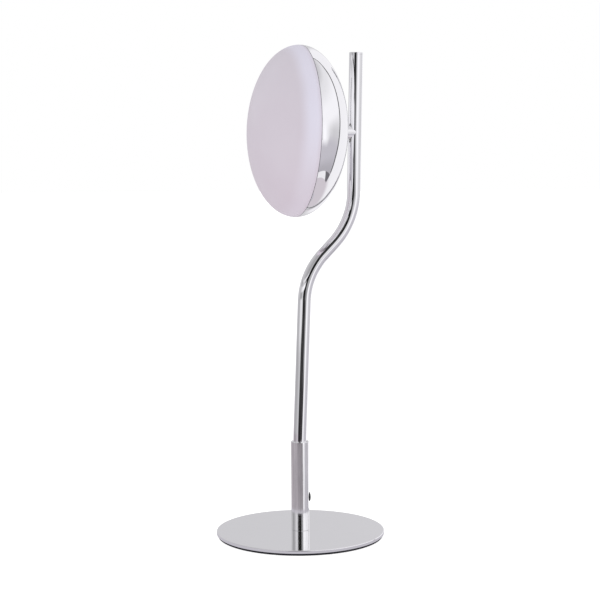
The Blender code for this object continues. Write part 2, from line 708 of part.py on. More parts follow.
def make_led_board(pivot):
    """The round board, with its light chips joined to its front."""
    outline = [
        (BOARD_HOLE, BOARD_BACK),
        (BOARD_RADIUS, BOARD_BACK),
        (BOARD_RADIUS, BOARD_FRONT),
        (BOARD_HOLE, BOARD_FRONT),
    ]
    board = turned("led_board", outline, MEDIUM, "board", (0, 0, HEAD_HEIGHT), "+Y", pivot)
    bm = bmesh.new()
    for radius, count in CHIP_CIRCLES:
        for x, z in circle_spots(radius, count):
            place = Matrix.Translation((x, BOARD_FRONT, HEAD_HEIGHT + z))
            size = Matrix.Diagonal((CHIP_SIZE, 2 * CHIP_HEIGHT, CHIP_SIZE, 1.0))
            bmesh.ops.create_cube(bm, size=1.0, matrix=place @ size)
    boolean(board, add_object("chips", mesh_from("chips", bm), None, pivot=pivot), "UNION")
    drill(board, circle_spots(BOARD_SCREW_CIRCLE, 3, 30), SCREW_HOLE, BOARD_FRONT - MM, BOARD_BACK + MM)
    for i, (x, z) in enumerate(circle_spots(BOARD_SCREW_CIRCLE, 3, 30), 1):
        screw(f"board_screw_{i}", (x, BOARD_FRONT - GAP, HEAD_HEIGHT + z), 4 * MM, "-Y", pivot)


def make_diffuser_ring(pivot):
    """The ring that the diffuser's collar grips, screwed to the plate's front."""
    floor_back = PLATE_FRONT - GAP
    floor_front = floor_back - RING_FLOOR
    outline = [
        (RING_INNER, floor_back),
        (RING_OUTER, floor_back),
        (RING_OUTER, RING_FRONT),
        (RING_OUTER - RING_WALL, RING_FRONT),
        (RING_OUTER - RING_WALL, floor_front),
        (RING_INNER, floor_front),
    ]
    ring = turned("diffuser_ring", outline, FINE, "white", (0, 0, HEAD_HEIGHT), "+Y", pivot)
    spots = circle_spots(RING_SCREW_CIRCLE, 3, 30)
    drill(ring, spots, SCREW_HOLE, floor_front - MM, floor_back + MM)
    for i, (x, z) in enumerate(spots, 1):
        screw(f"ring_screw_{i}", (x, floor_front - GAP, HEAD_HEIGHT + z), 3.5 * MM, "-Y", pivot)


def make_reflector(pivot):
    """A white dish that stands on the board's edge and reaches forward to the ring."""
    wall = 0.8 * MM
    inner = 46.5 * MM
    knee = 50 * MM
    outer = RING_OUTER - RING_WALL - 2 * GAP
    back = BOARD_FRONT - GAP
    outline = [
        (inner, back),
        (knee, back),
        (outer, RING_FRONT + wall),
        (outer, RING_FRONT),
        (knee, back - wall),
        (inner, back - wall),
    ]
    turned("reflector", outline, FINE, "white", (0, 0, HEAD_HEIGHT), "+Y", pivot)


def make_led_driver(pivot):
    """The driver's case, with an ear on each side, and its two screws."""
    driver = block("led_driver", DRIVER_LOW, DRIVER_HIGH, 1.5 * MM, "dark_plastic", pivot)
    middle = (DRIVER_LOW.z + DRIVER_HIGH.z) / 2
    ear_low = Vector((-DRIVER_EAR, DRIVER_LOW.y, middle - DRIVER_EAR_HALF))
    ear_high = Vector((DRIVER_EAR, DRIVER_LOW.y + DRIVER_EAR_THICKNESS, middle + DRIVER_EAR_HALF))
    # The ears stand a little off the plane of the case's underside, so the two faces don't coincide.
    ear_low.y += EAR_STEP
    boolean(driver, block("driver_ears", ear_low, ear_high, 0, None, pivot), "UNION")
    drill(driver, driver_screw_spots(), SCREW_HOLE, DRIVER_LOW.y - MM, ear_high.y + MM)
    for i, (x, z) in enumerate(driver_screw_spots(), 1):
        screw(f"driver_screw_{i}", (x, ear_high.y + GAP, HEAD_HEIGHT + z), 4.1 * MM, "+Y", pivot)


def make_terminal_block(pivot):
    block("terminal_block", BLOCK_LOW, BLOCK_HIGH, 0.8 * MM, "white", pivot)


def make_head_leads(pivot):
    block_y = (BLOCK_LOW.y + BLOCK_HIGH.y) / 2
    h = HEAD_HEIGHT
    head_route = [
        (0, BALL_Y - LEAD_BREAK, h),
        (0, BALL_Y - 9 * MM, h),
        (0, BALL_Y - 15 * MM, h + 1.5 * MM),
        (0, block_y + 1 * MM, h + 12 * MM),
        (0, block_y, BLOCK_LOW.z - GAP),
    ]
    lead("head_lead", smooth_route(head_route, 3), THIN_LEAD_RADIUS, pivot)
    top = DRIVER_HIGH.z + GAP
    driver_y = (DRIVER_LOW.y + DRIVER_HIGH.y) / 2
    driver_route = [
        (BLOCK_HIGH.x + GAP, block_y, h + 34 * MM),
        (22 * MM, block_y, h + 32 * MM),
        (33 * MM, 13.7 * MM, h + 16 * MM),
        (31 * MM, 14.7 * MM, h - 8 * MM),
        (20 * MM, driver_y, h - 20 * MM),
        (18 * MM, driver_y, top),
    ]
    lead("driver_lead", smooth_route(driver_route, 3), THIN_LEAD_RADIUS, pivot)
    hole_x, hole_z = LED_LEAD_HOLE
    led_route = [
        (-19 * MM, driver_y, top),
        (-18 * MM, driver_y, h - 20 * MM),
        (-13.5 * MM, 12.7 * MM, h - 10.5 * MM),
        (hole_x, 8.7 * MM, h + hole_z),
        (hole_x, PLATE_FRONT, h + hole_z),
    ]
    lead("led_lead", smooth_route(led_route, 3), THIN_LEAD_RADIUS, pivot)


def make_base():
    make_base_pad()
    make_base_plate()
    make_base_bolt()
    make_sleeve_plug()
    make_stem_sleeve()
    make_cord_bushing()
    make_stem_foot_bush()
    make_stem_set_screw()


def make_stem():
    make_stem_tube()
    make_stem_top_cap()
    make_neck_stub()
    make_swivel_ball()
    make_stem_lead()


def make_head(pivot):
    make_rear_shell(pivot)
    make_socket_rear(pivot)
    make_socket_front(pivot)
    make_mount_posts(pivot)
    make_mount_plate(pivot)
    make_led_board(pivot)
    make_diffuser_ring(pivot)
    make_reflector(pivot)
    make_led_driver(pivot)
    make_terminal_block(pivot)
    make_head_leads(pivot)
    make_diffuser(pivot)


def main():
    clear_scene()
    head_pivot = bpy.data.objects.new("head_pivot", None)
    head_pivot.location = (0, BALL_Y, HEAD_HEIGHT)
    head_pivot.rotation_euler.x = HEAD_TILT
    bpy.context.collection.objects.link(head_pivot)
    make_base()
    make_stem()
    make_ball_liner(head_pivot)
    make_head(head_pivot)


main()
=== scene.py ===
"""Looks of the lighted vanity mirror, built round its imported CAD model.

The head, stem, sleeve and base that show are replaced by fine meshes of the same sizes, and every
other CAD node keeps its mesh and gets a procedural material. Lengths are metres, in the CAD frame:
the origin is the middle of the base, +Z is up, and the opal front faces -Y.
"""

import json
import math

import bmesh
import bpy
from mathutils import Matrix, Vector


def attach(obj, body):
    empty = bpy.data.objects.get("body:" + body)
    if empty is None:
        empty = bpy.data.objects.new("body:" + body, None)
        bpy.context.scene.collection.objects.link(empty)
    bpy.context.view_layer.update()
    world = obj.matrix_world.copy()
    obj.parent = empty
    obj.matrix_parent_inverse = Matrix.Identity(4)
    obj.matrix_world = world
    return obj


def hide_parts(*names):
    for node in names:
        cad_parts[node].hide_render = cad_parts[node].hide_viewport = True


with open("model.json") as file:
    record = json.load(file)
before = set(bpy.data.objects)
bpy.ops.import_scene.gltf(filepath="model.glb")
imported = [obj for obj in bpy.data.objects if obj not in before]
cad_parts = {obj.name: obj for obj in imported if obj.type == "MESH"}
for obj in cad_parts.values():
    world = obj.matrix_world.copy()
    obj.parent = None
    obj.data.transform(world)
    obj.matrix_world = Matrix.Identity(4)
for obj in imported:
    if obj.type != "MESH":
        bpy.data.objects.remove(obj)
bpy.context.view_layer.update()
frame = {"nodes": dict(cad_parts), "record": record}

MM = 0.001
GAP = 0.3 * MM                      # between pieces that fit into one another
HAIRLINE = 0.05 * MM                # the joint between two pieces that touch
SUPPORT = 0.06 * MM                 # flat kept beside a fillet, so that it doesn't bend the shading
SHARP = math.radians(38)            # edges that turn by more than this stay sharp

# Base
BASE_RADIUS = 90 * MM
BASE_TOP = 5.7 * MM
PLATE_BOTTOM = 2.4 * MM
BASE_FILLET = 0.7 * MM
PAD_RADIUS = 88.5 * MM
PAD_TOP = 2.1 * MM
PAD_HOLE = 13 * MM
BOLT_HOLE = 3.3 * MM
COUNTERSINK = 6.6 * MM
BOLT_RADIUS = 3 * MM
BOLT_HEAD_RADIUS = 6 * MM
BOLT_BOTTOM = PLATE_BOTTOM + GAP
BOLT_END = 18 * MM
BOLT_SOCKET = 1.8 * MM
BOLT_SOCKET_DEPTH = 2 * MM
BOLT_CHAMFER = 0.15 * MM

# Sleeve
SLEEVE_RADIUS = 9.7 * MM
SLEEVE_BORE = 7.45 * MM
SLEEVE_TOP = 102 * MM
CORD_HOLE_HEIGHT = 41 * MM
CORD_HOLE_RADIUS = 4.2 * MM
CORD_BORE = 3.3 * MM
CORD_FLANGE_RADIUS = 5.2 * MM
CORD_FLANGE_BACK = 10.4 * MM
CORD_FLANGE_ROUND = 0.6 * MM
SET_SCREW_HOLE = 1.8 * MM
SET_SCREW_RADIUS = 1.5 * MM
SET_SCREW_POINT = 1.1 * MM
SET_SCREW_SOCKET = 0.75 * MM
SET_SCREW_SOCKET_DEPTH = 1.4 * MM
SET_SCREW_CHAMFER = 0.15 * MM

# Stem: its centre line lies in the plane X = 0
STEM_RADIUS = 7.25 * MM
STEM_BORE = 6.05 * MM
STEM_FOOT = 57 * MM
STEM_TOP = 514.7 * MM
CAP_THICKNESS = 2.2 * MM
CAP_SPIGOT = 5 * MM
CAP_ROUND = 0.6 * MM
FOOT_RUN = 40 * MM
LEAN = math.radians(2.3)
LEAN_RADIUS = 400 * MM
LOWER_RUN = 139.5 * MM
BEND_SLOPE = math.radians(44.5)
LOWER_BEND_RADIUS = 73.5 * MM
MIDDLE_RUN = 16.8 * MM
UPPER_BEND_RADIUS = 80 * MM
UPPER_LEAN = math.radians(1.15)
GROOVE_HEIGHT = 86 * MM
GROOVE_FLOOR = 6.45 * MM
GROOVE_HALF = 1.9 * MM
SET_SCREW_TIP = GROOVE_FLOOR + GAP

# Head, as if it faced straight ahead; it is then turned about the ball's centre
HEAD_HEIGHT = 430.7 * MM
HEAD_TILT = math.radians(-1.9)
SEAM_Y = -1.6 * MM
HEAD_RADIUS = 90 * MM
HEAD_DEPTH = 48.8 * MM
SHELL_WALL = 1.2 * MM
SHELL_OPENING = 10.2 * MM
DIFFUSER_WALL = 2.5 * MM
DIFFUSER_GAP = 0.45 * MM
COLLAR_OUTER = 87.9 * MM
COLLAR_INNER = 86.2 * MM
COLLAR_BACK = 4.8 * MM
COLLAR_FRONT = 3.2 * MM
COLLAR_MEETS = 84.6 * MM            # where the collar runs into the lens

# Ball joint
BALL_Y = 34.4 * MM
BALL_RADIUS = 10 * MM
BALL_FRONT_RADIUS = 6 * MM
BALL_FRONT_BORE = 5.5 * MM
NECK_RADIUS = 5 * MM
NECK_BORE = 3 * MM
NECK_END = 54.2 * MM
STUB_FRONT = 50.9 * MM
STUB_SOCKET = 5.3 * MM
STUB_SOCKET_END = 54.5 * MM
LEAD_HOLE = 3.3 * MM

# Sides of round pieces
HEAD_SIDES = 192
BASE_SIDES = 256
TUBE_SIDES = 96
SMALL_SIDES = 48
BEND_STEPS = 36
LEAN_STEPS = 8
LENS_STEPS = 72
INNER_LENS_STEPS = 40
BALL_STEPS = 40

# Camera: at the photograph's angle, looking a little down
CAMERA_AZIMUTH = math.radians(73.3)
CAMERA_DISTANCE = 1.65
CAMERA_SHIFT = 1.0 * MM             # to its own right
CAMERA_HEIGHT = 0.42
CAMERA_PITCH = math.radians(-5.75)
CAMERA_ROLL = math.radians(-0.35)
CAMERA_LENS = 93.7                  # in millimetres, on a 36 mm sensor
CAMERA_SENSOR = 36.0


# ---------------------------------------------------------------- mesh tools

def value(number, angle):
    """A radius or height is a number, or a function of the angle round the axis."""
    return number(angle) if callable(number) else number


PLACERS = {
    "+Z": lambda c, r, h, cos, sin: (c[0] + r * cos, c[1] + r * sin, c[2] + h),
    "+Y": lambda c, r, h, cos, sin: (c[0] + r * cos, c[1] + h, c[2] + r * sin),
    "-Y": lambda c, r, h, cos, sin: (c[0] + r * cos, c[1] - h, c[2] + r * sin),
    "-X": lambda c, r, h, cos, sin: (c[0] - h, c[1] + r * cos, c[2] + r * sin),
}


def bridge(bm, ring, following):
    """Faces between two rings; a ring of one vertex is a pole."""
    count = max(len(ring), len(following))
    for i in range(count):
        j = (i + 1) % count
        near = [ring[i % len(ring)], ring[j % len(ring)]]
        far = [following[j % len(following)], following[i % len(following)]]
        bm.faces.new(list(dict.fromkeys(near + far)))


def finished_mesh(name, bm):
    bmesh.ops.recalc_face_normals(bm, faces=bm.faces)
    mesh = bpy.data.meshes.new(name)
    bm.to_mesh(mesh)
    bm.free()
    mesh.shade_smooth()
    mesh.set_sharp_from_angle(angle=SHARP)
    return mesh


def add_object(name, mesh):
    obj = bpy.data.objects.new(name, mesh)
    bpy.context.collection.objects.link(obj)
    return obj


def turned(name, outline, sides, centre=(0, 0, 0), facing="+Z"):
    """Turn an outline of (radius, height) round an axis: a closed one, or one that ends on the axis."""
    place = PLACERS[facing]
    bm = bmesh.new()
    rings = []
    for radius, height in outline:
        if radius == 0:
            rings.append([bm.verts.new(place(centre, 0, value(height, 0), 1, 0))])
            continue
        ring = []
        for i in range(sides):
            angle = 2 * math.pi * i / sides
            out, up = value(radius, angle), value(height, angle)
            ring.append(bm.verts.new(place(centre, out, up, math.cos(angle), math.sin(angle))))
        rings.append(ring)
    for ring, following in zip(rings, rings[1:]):
        bridge(bm, ring, following)
    if outline[0][0] != 0:
        bridge(bm, rings[-1], rings[0])
    return add_object(name, finished_mesh(name, bm))


def rounded(outline, steps=5):
    """Round the corners of an outline of (radius, height, fillet), with a flat beside each fillet."""
    open_ended = outline[0][0] == 0
    points = []
    for i, (x, y, fillet) in enumerate(outline):
        corner = Vector((x, y))
        if not fillet or (open_ended and i in (0, len(outline) - 1)):
            points.append((x, y))
            continue
        before = Vector(outline[i - 1][:2]) - corner
        after = Vector(outline[(i + 1) % len(outline)][:2]) - corner
        room = before.length, after.length
        before.normalize()
        after.normalize()
        half = before.angle(after) / 2
        tangent = fillet / math.tan(half)
        centre = corner + (before + after).normalized() * fillet / math.sin(half)
        first = corner + before * tangent - centre
        last = corner + after * tangent - centre
        turn = math.atan2(first.x * last.y - first.y * last.x, first.dot(last))
        if room[0] > tangent + SUPPORT:
            points.append(tuple(corner + before * (tangent + SUPPORT)))
        for s in range(steps + 1):
            cos, sin = math.cos(turn * s / steps), math.sin(turn * s / steps)
            spoke = Vector((first.x * cos - first.y * sin, first.x * sin + first.y * cos))
            points.append(tuple(centre + spoke))
        if room[1] > tangent + SUPPORT:
            points.append(tuple(corner + after * (tangent + SUPPORT)))
    return points


def lens_arc(rim_radius, depth, first, last, steps):
    """Points (radius, height) along a half lens, from one radius to another."""
    start = math.acos(first / rim_radius)
    end = math.acos(last / rim_radius)
    angles = [start + (end - start) * i / steps for i in range(steps + 1)]
    radii = [rim_radius * math.cos(a) if a < math.pi / 2 else 0.0 for a in angles]
    return [(radius, depth * math.sin(a)) for radius, a in zip(radii, angles)]


def ball_arc(radius, first_degrees, last_degrees, steps):
    """Points (radius, height) along a sphere, by the angle from its +height pole."""
    first, last = math.radians(first_degrees), math.radians(last_degrees)
    angles = [first + (last - first) * i / steps for i in range(steps + 1)]
    return [(radius * math.sin(a), radius * math.cos(a)) for a in angles]


def hexagon(inner_radius):
    """The radius of a hexagon's outline, as a function of the angle."""
    def radius(angle):
        return inner_radius / math.cos(angle % (math.pi / 3) - math.pi / 6)
    return radius


def saddle(base, radius_of_cylinder, radius, side, lean=0.0):
    """The height where a bore of this radius meets an upright cylinder, or one that leans a little."""
    def height(angle):
        sagitta = math.sqrt(radius_of_cylinder**2 - (radius * math.cos(angle)) ** 2)
        return base + side * sagitta + radius * math.sin(angle) * math.tan(lean)
    return height


def move_mesh(obj, matrix):
    obj.data.transform(matrix)
    obj.data.update()


def cut_hole(obj, radius, centre, facing, reach):
    """Cut a round hole, and leave nothing of the cutter behind."""
    outline = [(0, 0), (radius, 0), (radius, reach), (0, reach)]
    cutter = turned("cutter", outline, SMALL_SIDES, centre, facing)
    modifier = obj.modifiers.new("hole", "BOOLEAN")
    modifier.operation = "DIFFERENCE"
    modifier.solver = "EXACT"
    modifier.object = cutter
    evaluated = obj.evaluated_get(bpy.context.evaluated_depsgraph_get())
    mesh = bpy.data.meshes.new_from_object(evaluated)
    mesh.name = obj.data.name
    obj.modifiers.clear()
    obj.data = mesh
    bpy.data.objects.remove(cutter)
    mesh.set_sharp_from_angle(angle=SHARP)


def set_round_normals(obj, radius, axis_point):
    """Give the faces on a round wall their exact normals, so that mirrored lines run true."""
    near_enough = 0.01 * MM
    mesh = obj.data
    normals = [loop.vector.copy() for loop in mesh.corner_normals]
    for face in mesh.polygons:
        spokes = [mesh.vertices[v].co - axis_point(mesh.vertices[v].co) for v in face.vertices]
        if all(abs(spoke.length - radius) < near_enough for spoke in spokes):
            for loop, spoke in zip(face.loop_indices, spokes):
                normals[loop] = spoke.normalized()
    mesh.normals_split_custom_set(normals)


# ---------------------------------------------------------------- stem's route

def add_run(stations, length):
    y, z, slope = stations[-1]
    stations.append((y + length * math.sin(slope), z + length * math.cos(slope), slope))


def add_bend(stations, radius, new_slope, steps):
    y, z, slope = stations[-1]
    side = 1 if new_slope > slope else -1
    for i in range(1, steps + 1):
        s = slope + (new_slope - slope) * i / steps
        stations.append((
            y + side * radius * (math.cos(slope) - math.cos(s)),
            z + side * radius * (math.sin(s) - math.sin(slope)), s))


def stem_stations():
    """Stations (y, z, slope) of the stem's centre line, up to the cap."""
    stations = [(0.0, STEM_FOOT, 0.0)]
    add_run(stations, FOOT_RUN)
    add_bend(stations, LEAN_RADIUS, LEAN, LEAN_STEPS)
    add_run(stations, LOWER_RUN)
    add_bend(stations, LOWER_BEND_RADIUS, BEND_SLOPE, BEND_STEPS)
    add_run(stations, MIDDLE_RUN)
    add_bend(stations, UPPER_BEND_RADIUS, UPPER_LEAN, BEND_STEPS)
    rise = STEM_TOP - stations[-1][1]
    add_run(stations, rise / math.cos(UPPER_LEAN) - CAP_THICKNESS - HAIRLINE)
    return stations


ROUTE = stem_stations()


def upper_run_y(z):
    """How far behind the base's middle the upper run's centre line is, at a height."""
    return ROUTE[-1][0] - (ROUTE[-1][1] - z) * math.tan(UPPER_LEAN)


STEM_BACK = upper_run_y(HEAD_HEIGHT)


def nearest_on_stem(point):
    """The nearest point of the stem's centre line."""
    best, found = None, None
    for (y0, z0, _), (y1, z1, _) in zip(ROUTE, ROUTE[1:]):
        start, along = Vector((0, y0, z0)), Vector((0, y1 - y0, z1 - z0))
        t = min(1.0, max(0.0, (point - start).dot(along) / along.length_squared))
        spot = start + along * t
        distance = (point - spot).length
        if best is None or distance < best:
            best, found = distance, spot
    return found


def tube_ring(bm, station, radius):
    y, z, slope = station
    ring = []
    for i in range(TUBE_SIDES):
        turn = 2 * math.pi * i / TUBE_SIDES
        across = radius * math.sin(turn)
        ring.append(bm.verts.new((
            radius * math.cos(turn), y + across * math.cos(slope), z - across * math.sin(slope))))
    return ring


# ---------------------------------------------------------------- node tools

class Graph:
    """Short ways to make nodes in one node tree."""

    def __init__(self, tree):
        self.nodes = tree.nodes
        self.links = tree.links

    def node(self, kind, **settings):
        made = self.nodes.new(kind)
        for name, setting in settings.items():
            setattr(made, name, setting)
        return made

    def join(self, socket, given):
        if isinstance(given, bpy.types.NodeSocket):
            self.links.new(given, socket)
        else:
            socket.default_value = given

    def math(self, operation, *terms, clamp=False):
        made = self.node("ShaderNodeMath", operation=operation, use_clamp=clamp)
        for socket, term in zip(made.inputs, terms):
            self.join(socket, term)
        return made.outputs[0]

    def dot(self, vector, other):
        made = self.node("ShaderNodeVectorMath", operation="DOT_PRODUCT")
        self.join(made.inputs[0], vector)
        self.join(made.inputs[1], other)
        return made.outputs["Value"]

    def scaled(self, vector, factors):
        made = self.node("ShaderNodeVectorMath", operation="MULTIPLY")
        self.join(made.inputs[0], vector)
        self.join(made.inputs[1], factors)
        return made.outputs[0]

    def step(self, number, low, high, at_low=0.0, at_high=1.0):
        """A smooth step from one value to another."""
        made = self.node("ShaderNodeMapRange", interpolation_type="SMOOTHSTEP")
        self.join(made.inputs["Value"], number)
        self.join(made.inputs["From Min"], low)
        self.join(made.inputs["From Max"], high)
        self.join(made.inputs["To Min"], at_low)
        self.join(made.inputs["To Max"], at_high)
        return made.outputs[0]

    def mix(self, factor, first, second):
        made = self.node("ShaderNodeMix", data_type="RGBA")
        self.join(made.inputs["Factor"], factor)
        self.join(made.inputs["A"], first)
        self.join(made.inputs["B"], second)
        return made.outputs["Result"]

    def ramp(self, factor, stops):
        """A colour by a factor, from stops of (place, colour) in rising order."""
        made = self.node("ShaderNodeValToRGB")
        elements = made.color_ramp.elements
        while len(elements) < len(stops):
            elements.new(1.0)
        for i, (place, _) in enumerate(stops):
            elements[i].position = place
        for i, (_, colour) in enumerate(stops):
            elements[i].color = colour
        self.join(made.inputs[0], factor)
        return made.outputs[0]

    def noise(self, vector, scale, detail=2.0, roughness=0.5):
        made = self.node("ShaderNodeTexNoise")
        self.join(made.inputs["Vector"], vector)
        made.inputs["Scale"].default_value = scale
        made.inputs["Detail"].default_value = detail
        made.inputs["Roughness"].default_value = roughness
        return made.outputs["Fac"]

    def bump(self, height, strength, distance):
        made = self.node("ShaderNodeBump")
        made.inputs["Strength"].default_value = strength
        made.inputs["Distance"].default_value = distance
        self.join(made.inputs["Height"], height)
        return made.outputs[0]


# ---------------------------------------------------------------- materials

NOISE_SPREAD = 0.25, 0.75           # most of a noise lies between these


def new_material(name, colour, roughness, metallic=0.0, ior=1.5):
    """A material with its uniform values set on the shader itself."""
    material = bpy.data.materials.new(name)
    material.use_nodes = True
    shader = material.node_tree.nodes["Principled BSDF"]
    shader.inputs["Base Color"].default_value = (*colour, 1.0)
    shader.inputs["Roughness"].default_value = roughness
    shader.inputs["Metallic"].default_value = metallic
    shader.inputs["IOR"].default_value = ior
    graph = Graph(material.node_tree)
    place = graph.node("ShaderNodeTexCoord").outputs["Object"]
    return material, shader, graph, place


def mottled(graph, shader, place, colour, spread, scale, detail=3.0):
    """Vary the base colour a little, in soft patches."""
    patches = graph.noise(place, scale, detail)
    dark = tuple(c * (1 - spread) for c in colour)
    light = tuple(min(1.0, c * (1 + spread)) for c in colour)
    graph.join(shader.inputs["Base Color"], graph.mix(patches, (*dark, 1.0), (*light, 1.0)))
    return patches


def vary_roughness(graph, shader, factor, low, high):
    graph.join(shader.inputs["Roughness"], graph.step(factor, *NOISE_SPREAD, low, high))


CHROME = (0.93, 0.93, 0.94)
# Noise is squeezed across a line and drawn out along Z by these
HAIRS = (1.0, 1.0, 0.06)
DRAWN_LINES = (1.0, 1.0, 0.012)
SMEARS = (1.0, 1.0, 0.15)
STREAK_SPREAD = 0.36, 0.64


def chrome(name="polished_chrome", rough=(0.025, 0.055), haze=0.0, streaks=0.0):
    """Polished chrome with smudges and hair scratches, and with streaks along Z if it is drawn."""
    material, shader, graph, place = new_material(name, CHROME, rough[0], metallic=1.0)
    patches = mottled(graph, shader, place, CHROME, spread=0.012, scale=45.0)
    smudges = graph.noise(place, scale=16.0, detail=4.0, roughness=0.6)
    hairs = graph.noise(graph.scaled(place, HAIRS), scale=2600.0)
    blend = graph.math("MULTIPLY_ADD", hairs, 0.25, graph.math("MULTIPLY", smudges, 0.75))
    vary_roughness(graph, shader, blend, *rough)
    ripples = graph.noise(place, scale=38.0, detail=1.0)
    relief = graph.math("ADD", ripples, graph.math("MULTIPLY", patches, 0.2))
    bump = graph.bump(relief, strength=0.02 + haze, distance=0.05 * MM)
    graph.join(shader.inputs["Normal"], bump)
    if streaks:
        lines = graph.noise(graph.scaled(place, DRAWN_LINES), scale=900.0, detail=3.0, roughness=0.7)
        smears = graph.noise(graph.scaled(place, SMEARS), scale=160.0, detail=3.0, roughness=0.6)
        marks = graph.math("MULTIPLY_ADD", smears, 0.5, graph.math("MULTIPLY", lines, 0.5))
        worn = tuple(c * (1 - streaks) for c in CHROME)
        bright = tuple(min(1.0, c * (1 + 0.5 * streaks)) for c in CHROME)
        streaked = graph.mix(graph.step(marks, *STREAK_SPREAD), (*worn, 1.0), (*bright, 1.0))
        graph.join(shader.inputs["Base Color"], streaked)
    return material


# The opal's colour at the top, the colour of the painted shade that darkens it towards the bottom, and
# the colour of the painted bluish band of light near its rim
OPAL_HIGH = (0.60, 0.5562, 0.6202)
OPAL_LOW_SHADED = (0.522, 0.4576, 0.5229)
PAINTED_RIM_LIGHT = (0.67, 0.645, 0.75)
PAINTED_BAND_SPAN = -22 * MM, -10 * MM       # in front of the seam, the painted band of light fades in between these
RIM_EDGE = -5 * MM, 0.0             # and it is weaker beside the seam
RIM_EDGE_LEFT = 0.35                # of its strength
RIM_FADE = HEAD_HEIGHT - 0.8 * HEAD_RADIUS, HEAD_HEIGHT + 0.3 * HEAD_RADIUS
RIM_LEFT_BELOW = 0.15
RIM_WAVER = 4 * MM
BODY_WAVER = 0.8


def opal():
    """Satin opal acrylic: lilac-white with a fine etched grain, a painted bluish band of light near its
    rim, and painted shade towards the bottom.
    """
    material, shader, graph, place = new_material("satin_opal", OPAL_HIGH, 0.42, ior=1.49)
    split = graph.node("ShaderNodeSeparateXYZ")
    graph.join(split.inputs[0], place)
    patches = graph.noise(place, scale=14.0)
    uneven = graph.math("SUBTRACT", patches, 0.5)

    head_axis = (0.0, math.cos(HEAD_TILT), math.sin(HEAD_TILT))
    seam_along_axis = Vector((0, BALL_Y, HEAD_HEIGHT)).dot(head_axis) + SEAM_Y - BALL_Y
    # Painted light: a bluish band near the rim that fades in before the seam and is weaker beside the
    # seam and towards the bottom
    behind_seam = graph.math("SUBTRACT", graph.dot(place, head_axis), seam_along_axis)
    depth = graph.math("MULTIPLY_ADD", uneven, RIM_WAVER, behind_seam)
    fade = graph.step(split.outputs["Z"], *RIM_FADE, RIM_LEFT_BELOW, 1.0)
    edge = graph.step(depth, *RIM_EDGE, 1.0, RIM_EDGE_LEFT)
    faded = graph.math("MULTIPLY", graph.step(depth, *PAINTED_BAND_SPAN), fade)
    painted_rim_band = graph.math("MULTIPLY", faded, edge)

    # Painted shade: the opal darkens towards the bottom, and the step wavers a little with the patches
    height = graph.step(split.outputs["Z"], HEAD_HEIGHT - HEAD_RADIUS, HEAD_HEIGHT + HEAD_RADIUS)
    level = graph.math("ADD", height, graph.math("MULTIPLY", uneven, BODY_WAVER), clamp=True)
    body = graph.mix(level, (*OPAL_LOW_SHADED, 1.0), (*OPAL_HIGH, 1.0))
    graph.join(shader.inputs["Base Color"], graph.mix(painted_rim_band, body, (*PAINTED_RIM_LIGHT, 1.0)))
    vary_roughness(graph, shader, patches, low=0.40, high=0.46)
    etched = graph.noise(place, scale=3200.0)
    graph.join(shader.inputs["Normal"], graph.bump(etched, strength=0.12, distance=0.02 * MM))
    return material


def rubber(name, colour, grain_scale):
    """Dark foam or rubber, matt and finely grained."""
    material, shader, graph, place = new_material(name, colour, 0.75, ior=1.45)
    mottled(graph, shader, place, colour, spread=0.25, scale=900.0)
    grain = graph.noise(place, grain_scale, detail=3.0)
    vary_roughness(graph, shader, grain, low=0.68, high=0.85)
    graph.join(shader.inputs["Normal"], graph.bump(grain, strength=0.5, distance=0.05 * MM))
    return material


def metal(name, colour, rough, stretch, scale, relief):
    """Turned, rolled or cast metal: grain stretched along one direction."""
    material, shader, graph, place = new_material(name, colour, rough[0], metallic=1.0)
    mottled(graph, shader, place, colour, spread=0.05, scale=220.0)
    grain = graph.noise(graph.scaled(place, stretch), scale, detail=3.0)
    vary_roughness(graph, shader, grain, *rough)
    graph.join(shader.inputs["Normal"], graph.bump(grain, relief, distance=0.02 * MM))
    return material


def plastic(name, colour, rough, grain_scale, relief, ior=1.5):
    """Moulded plastic with faint flow patches and a spark-eroded grain."""
    material, shader, graph, place = new_material(name, colour, rough[0], ior=ior)
    mottled(graph, shader, place, colour, spread=0.03, scale=60.0)
    grain = graph.noise(place, grain_scale)
    vary_roughness(graph, shader, grain, *rough)
    graph.join(shader.inputs["Normal"], graph.bump(grain, relief, distance=0.03 * MM))
    return material


BOARD_FRONT_Y = 1.1 * MM
CHIPS_FROM_Y = BOARD_FRONT_Y - 0.5 * MM
BOARD_DARK = (0.82, 0.83, 0.81)
BOARD_LIGHT = (0.88, 0.89, 0.87)
PHOSPHOR = (0.86, 0.70, 0.22)


def board():
    """White solder mask; what stands in front of the board's face is a chip's yellow phosphor."""
    material, shader, graph, place = new_material("light_board", BOARD_LIGHT, 0.35)
    split = graph.node("ShaderNodeSeparateXYZ")
    graph.join(split.inputs[0], place)
    chip = graph.math("LESS_THAN", split.outputs["Y"], CHIPS_FROM_Y)
    weave = graph.noise(place, scale=1500.0)
    white = graph.mix(weave, (*BOARD_DARK, 1.0), (*BOARD_LIGHT, 1.0))
    graph.join(shader.inputs["Base Color"], graph.mix(chip, white, (*PHOSPHOR, 1.0)))
    vary_roughness(graph, shader, weave, low=0.30, high=0.42)
    graph.join(shader.inputs["Normal"], graph.bump(weave, strength=0.1, distance=0.02 * MM))
    return material


ISOTROPIC = (1.0, 1.0, 1.0)
ALONG_Y = (1.0, 0.12, 1.0)
ALONG_Z = (1.0, 1.0, 0.04)

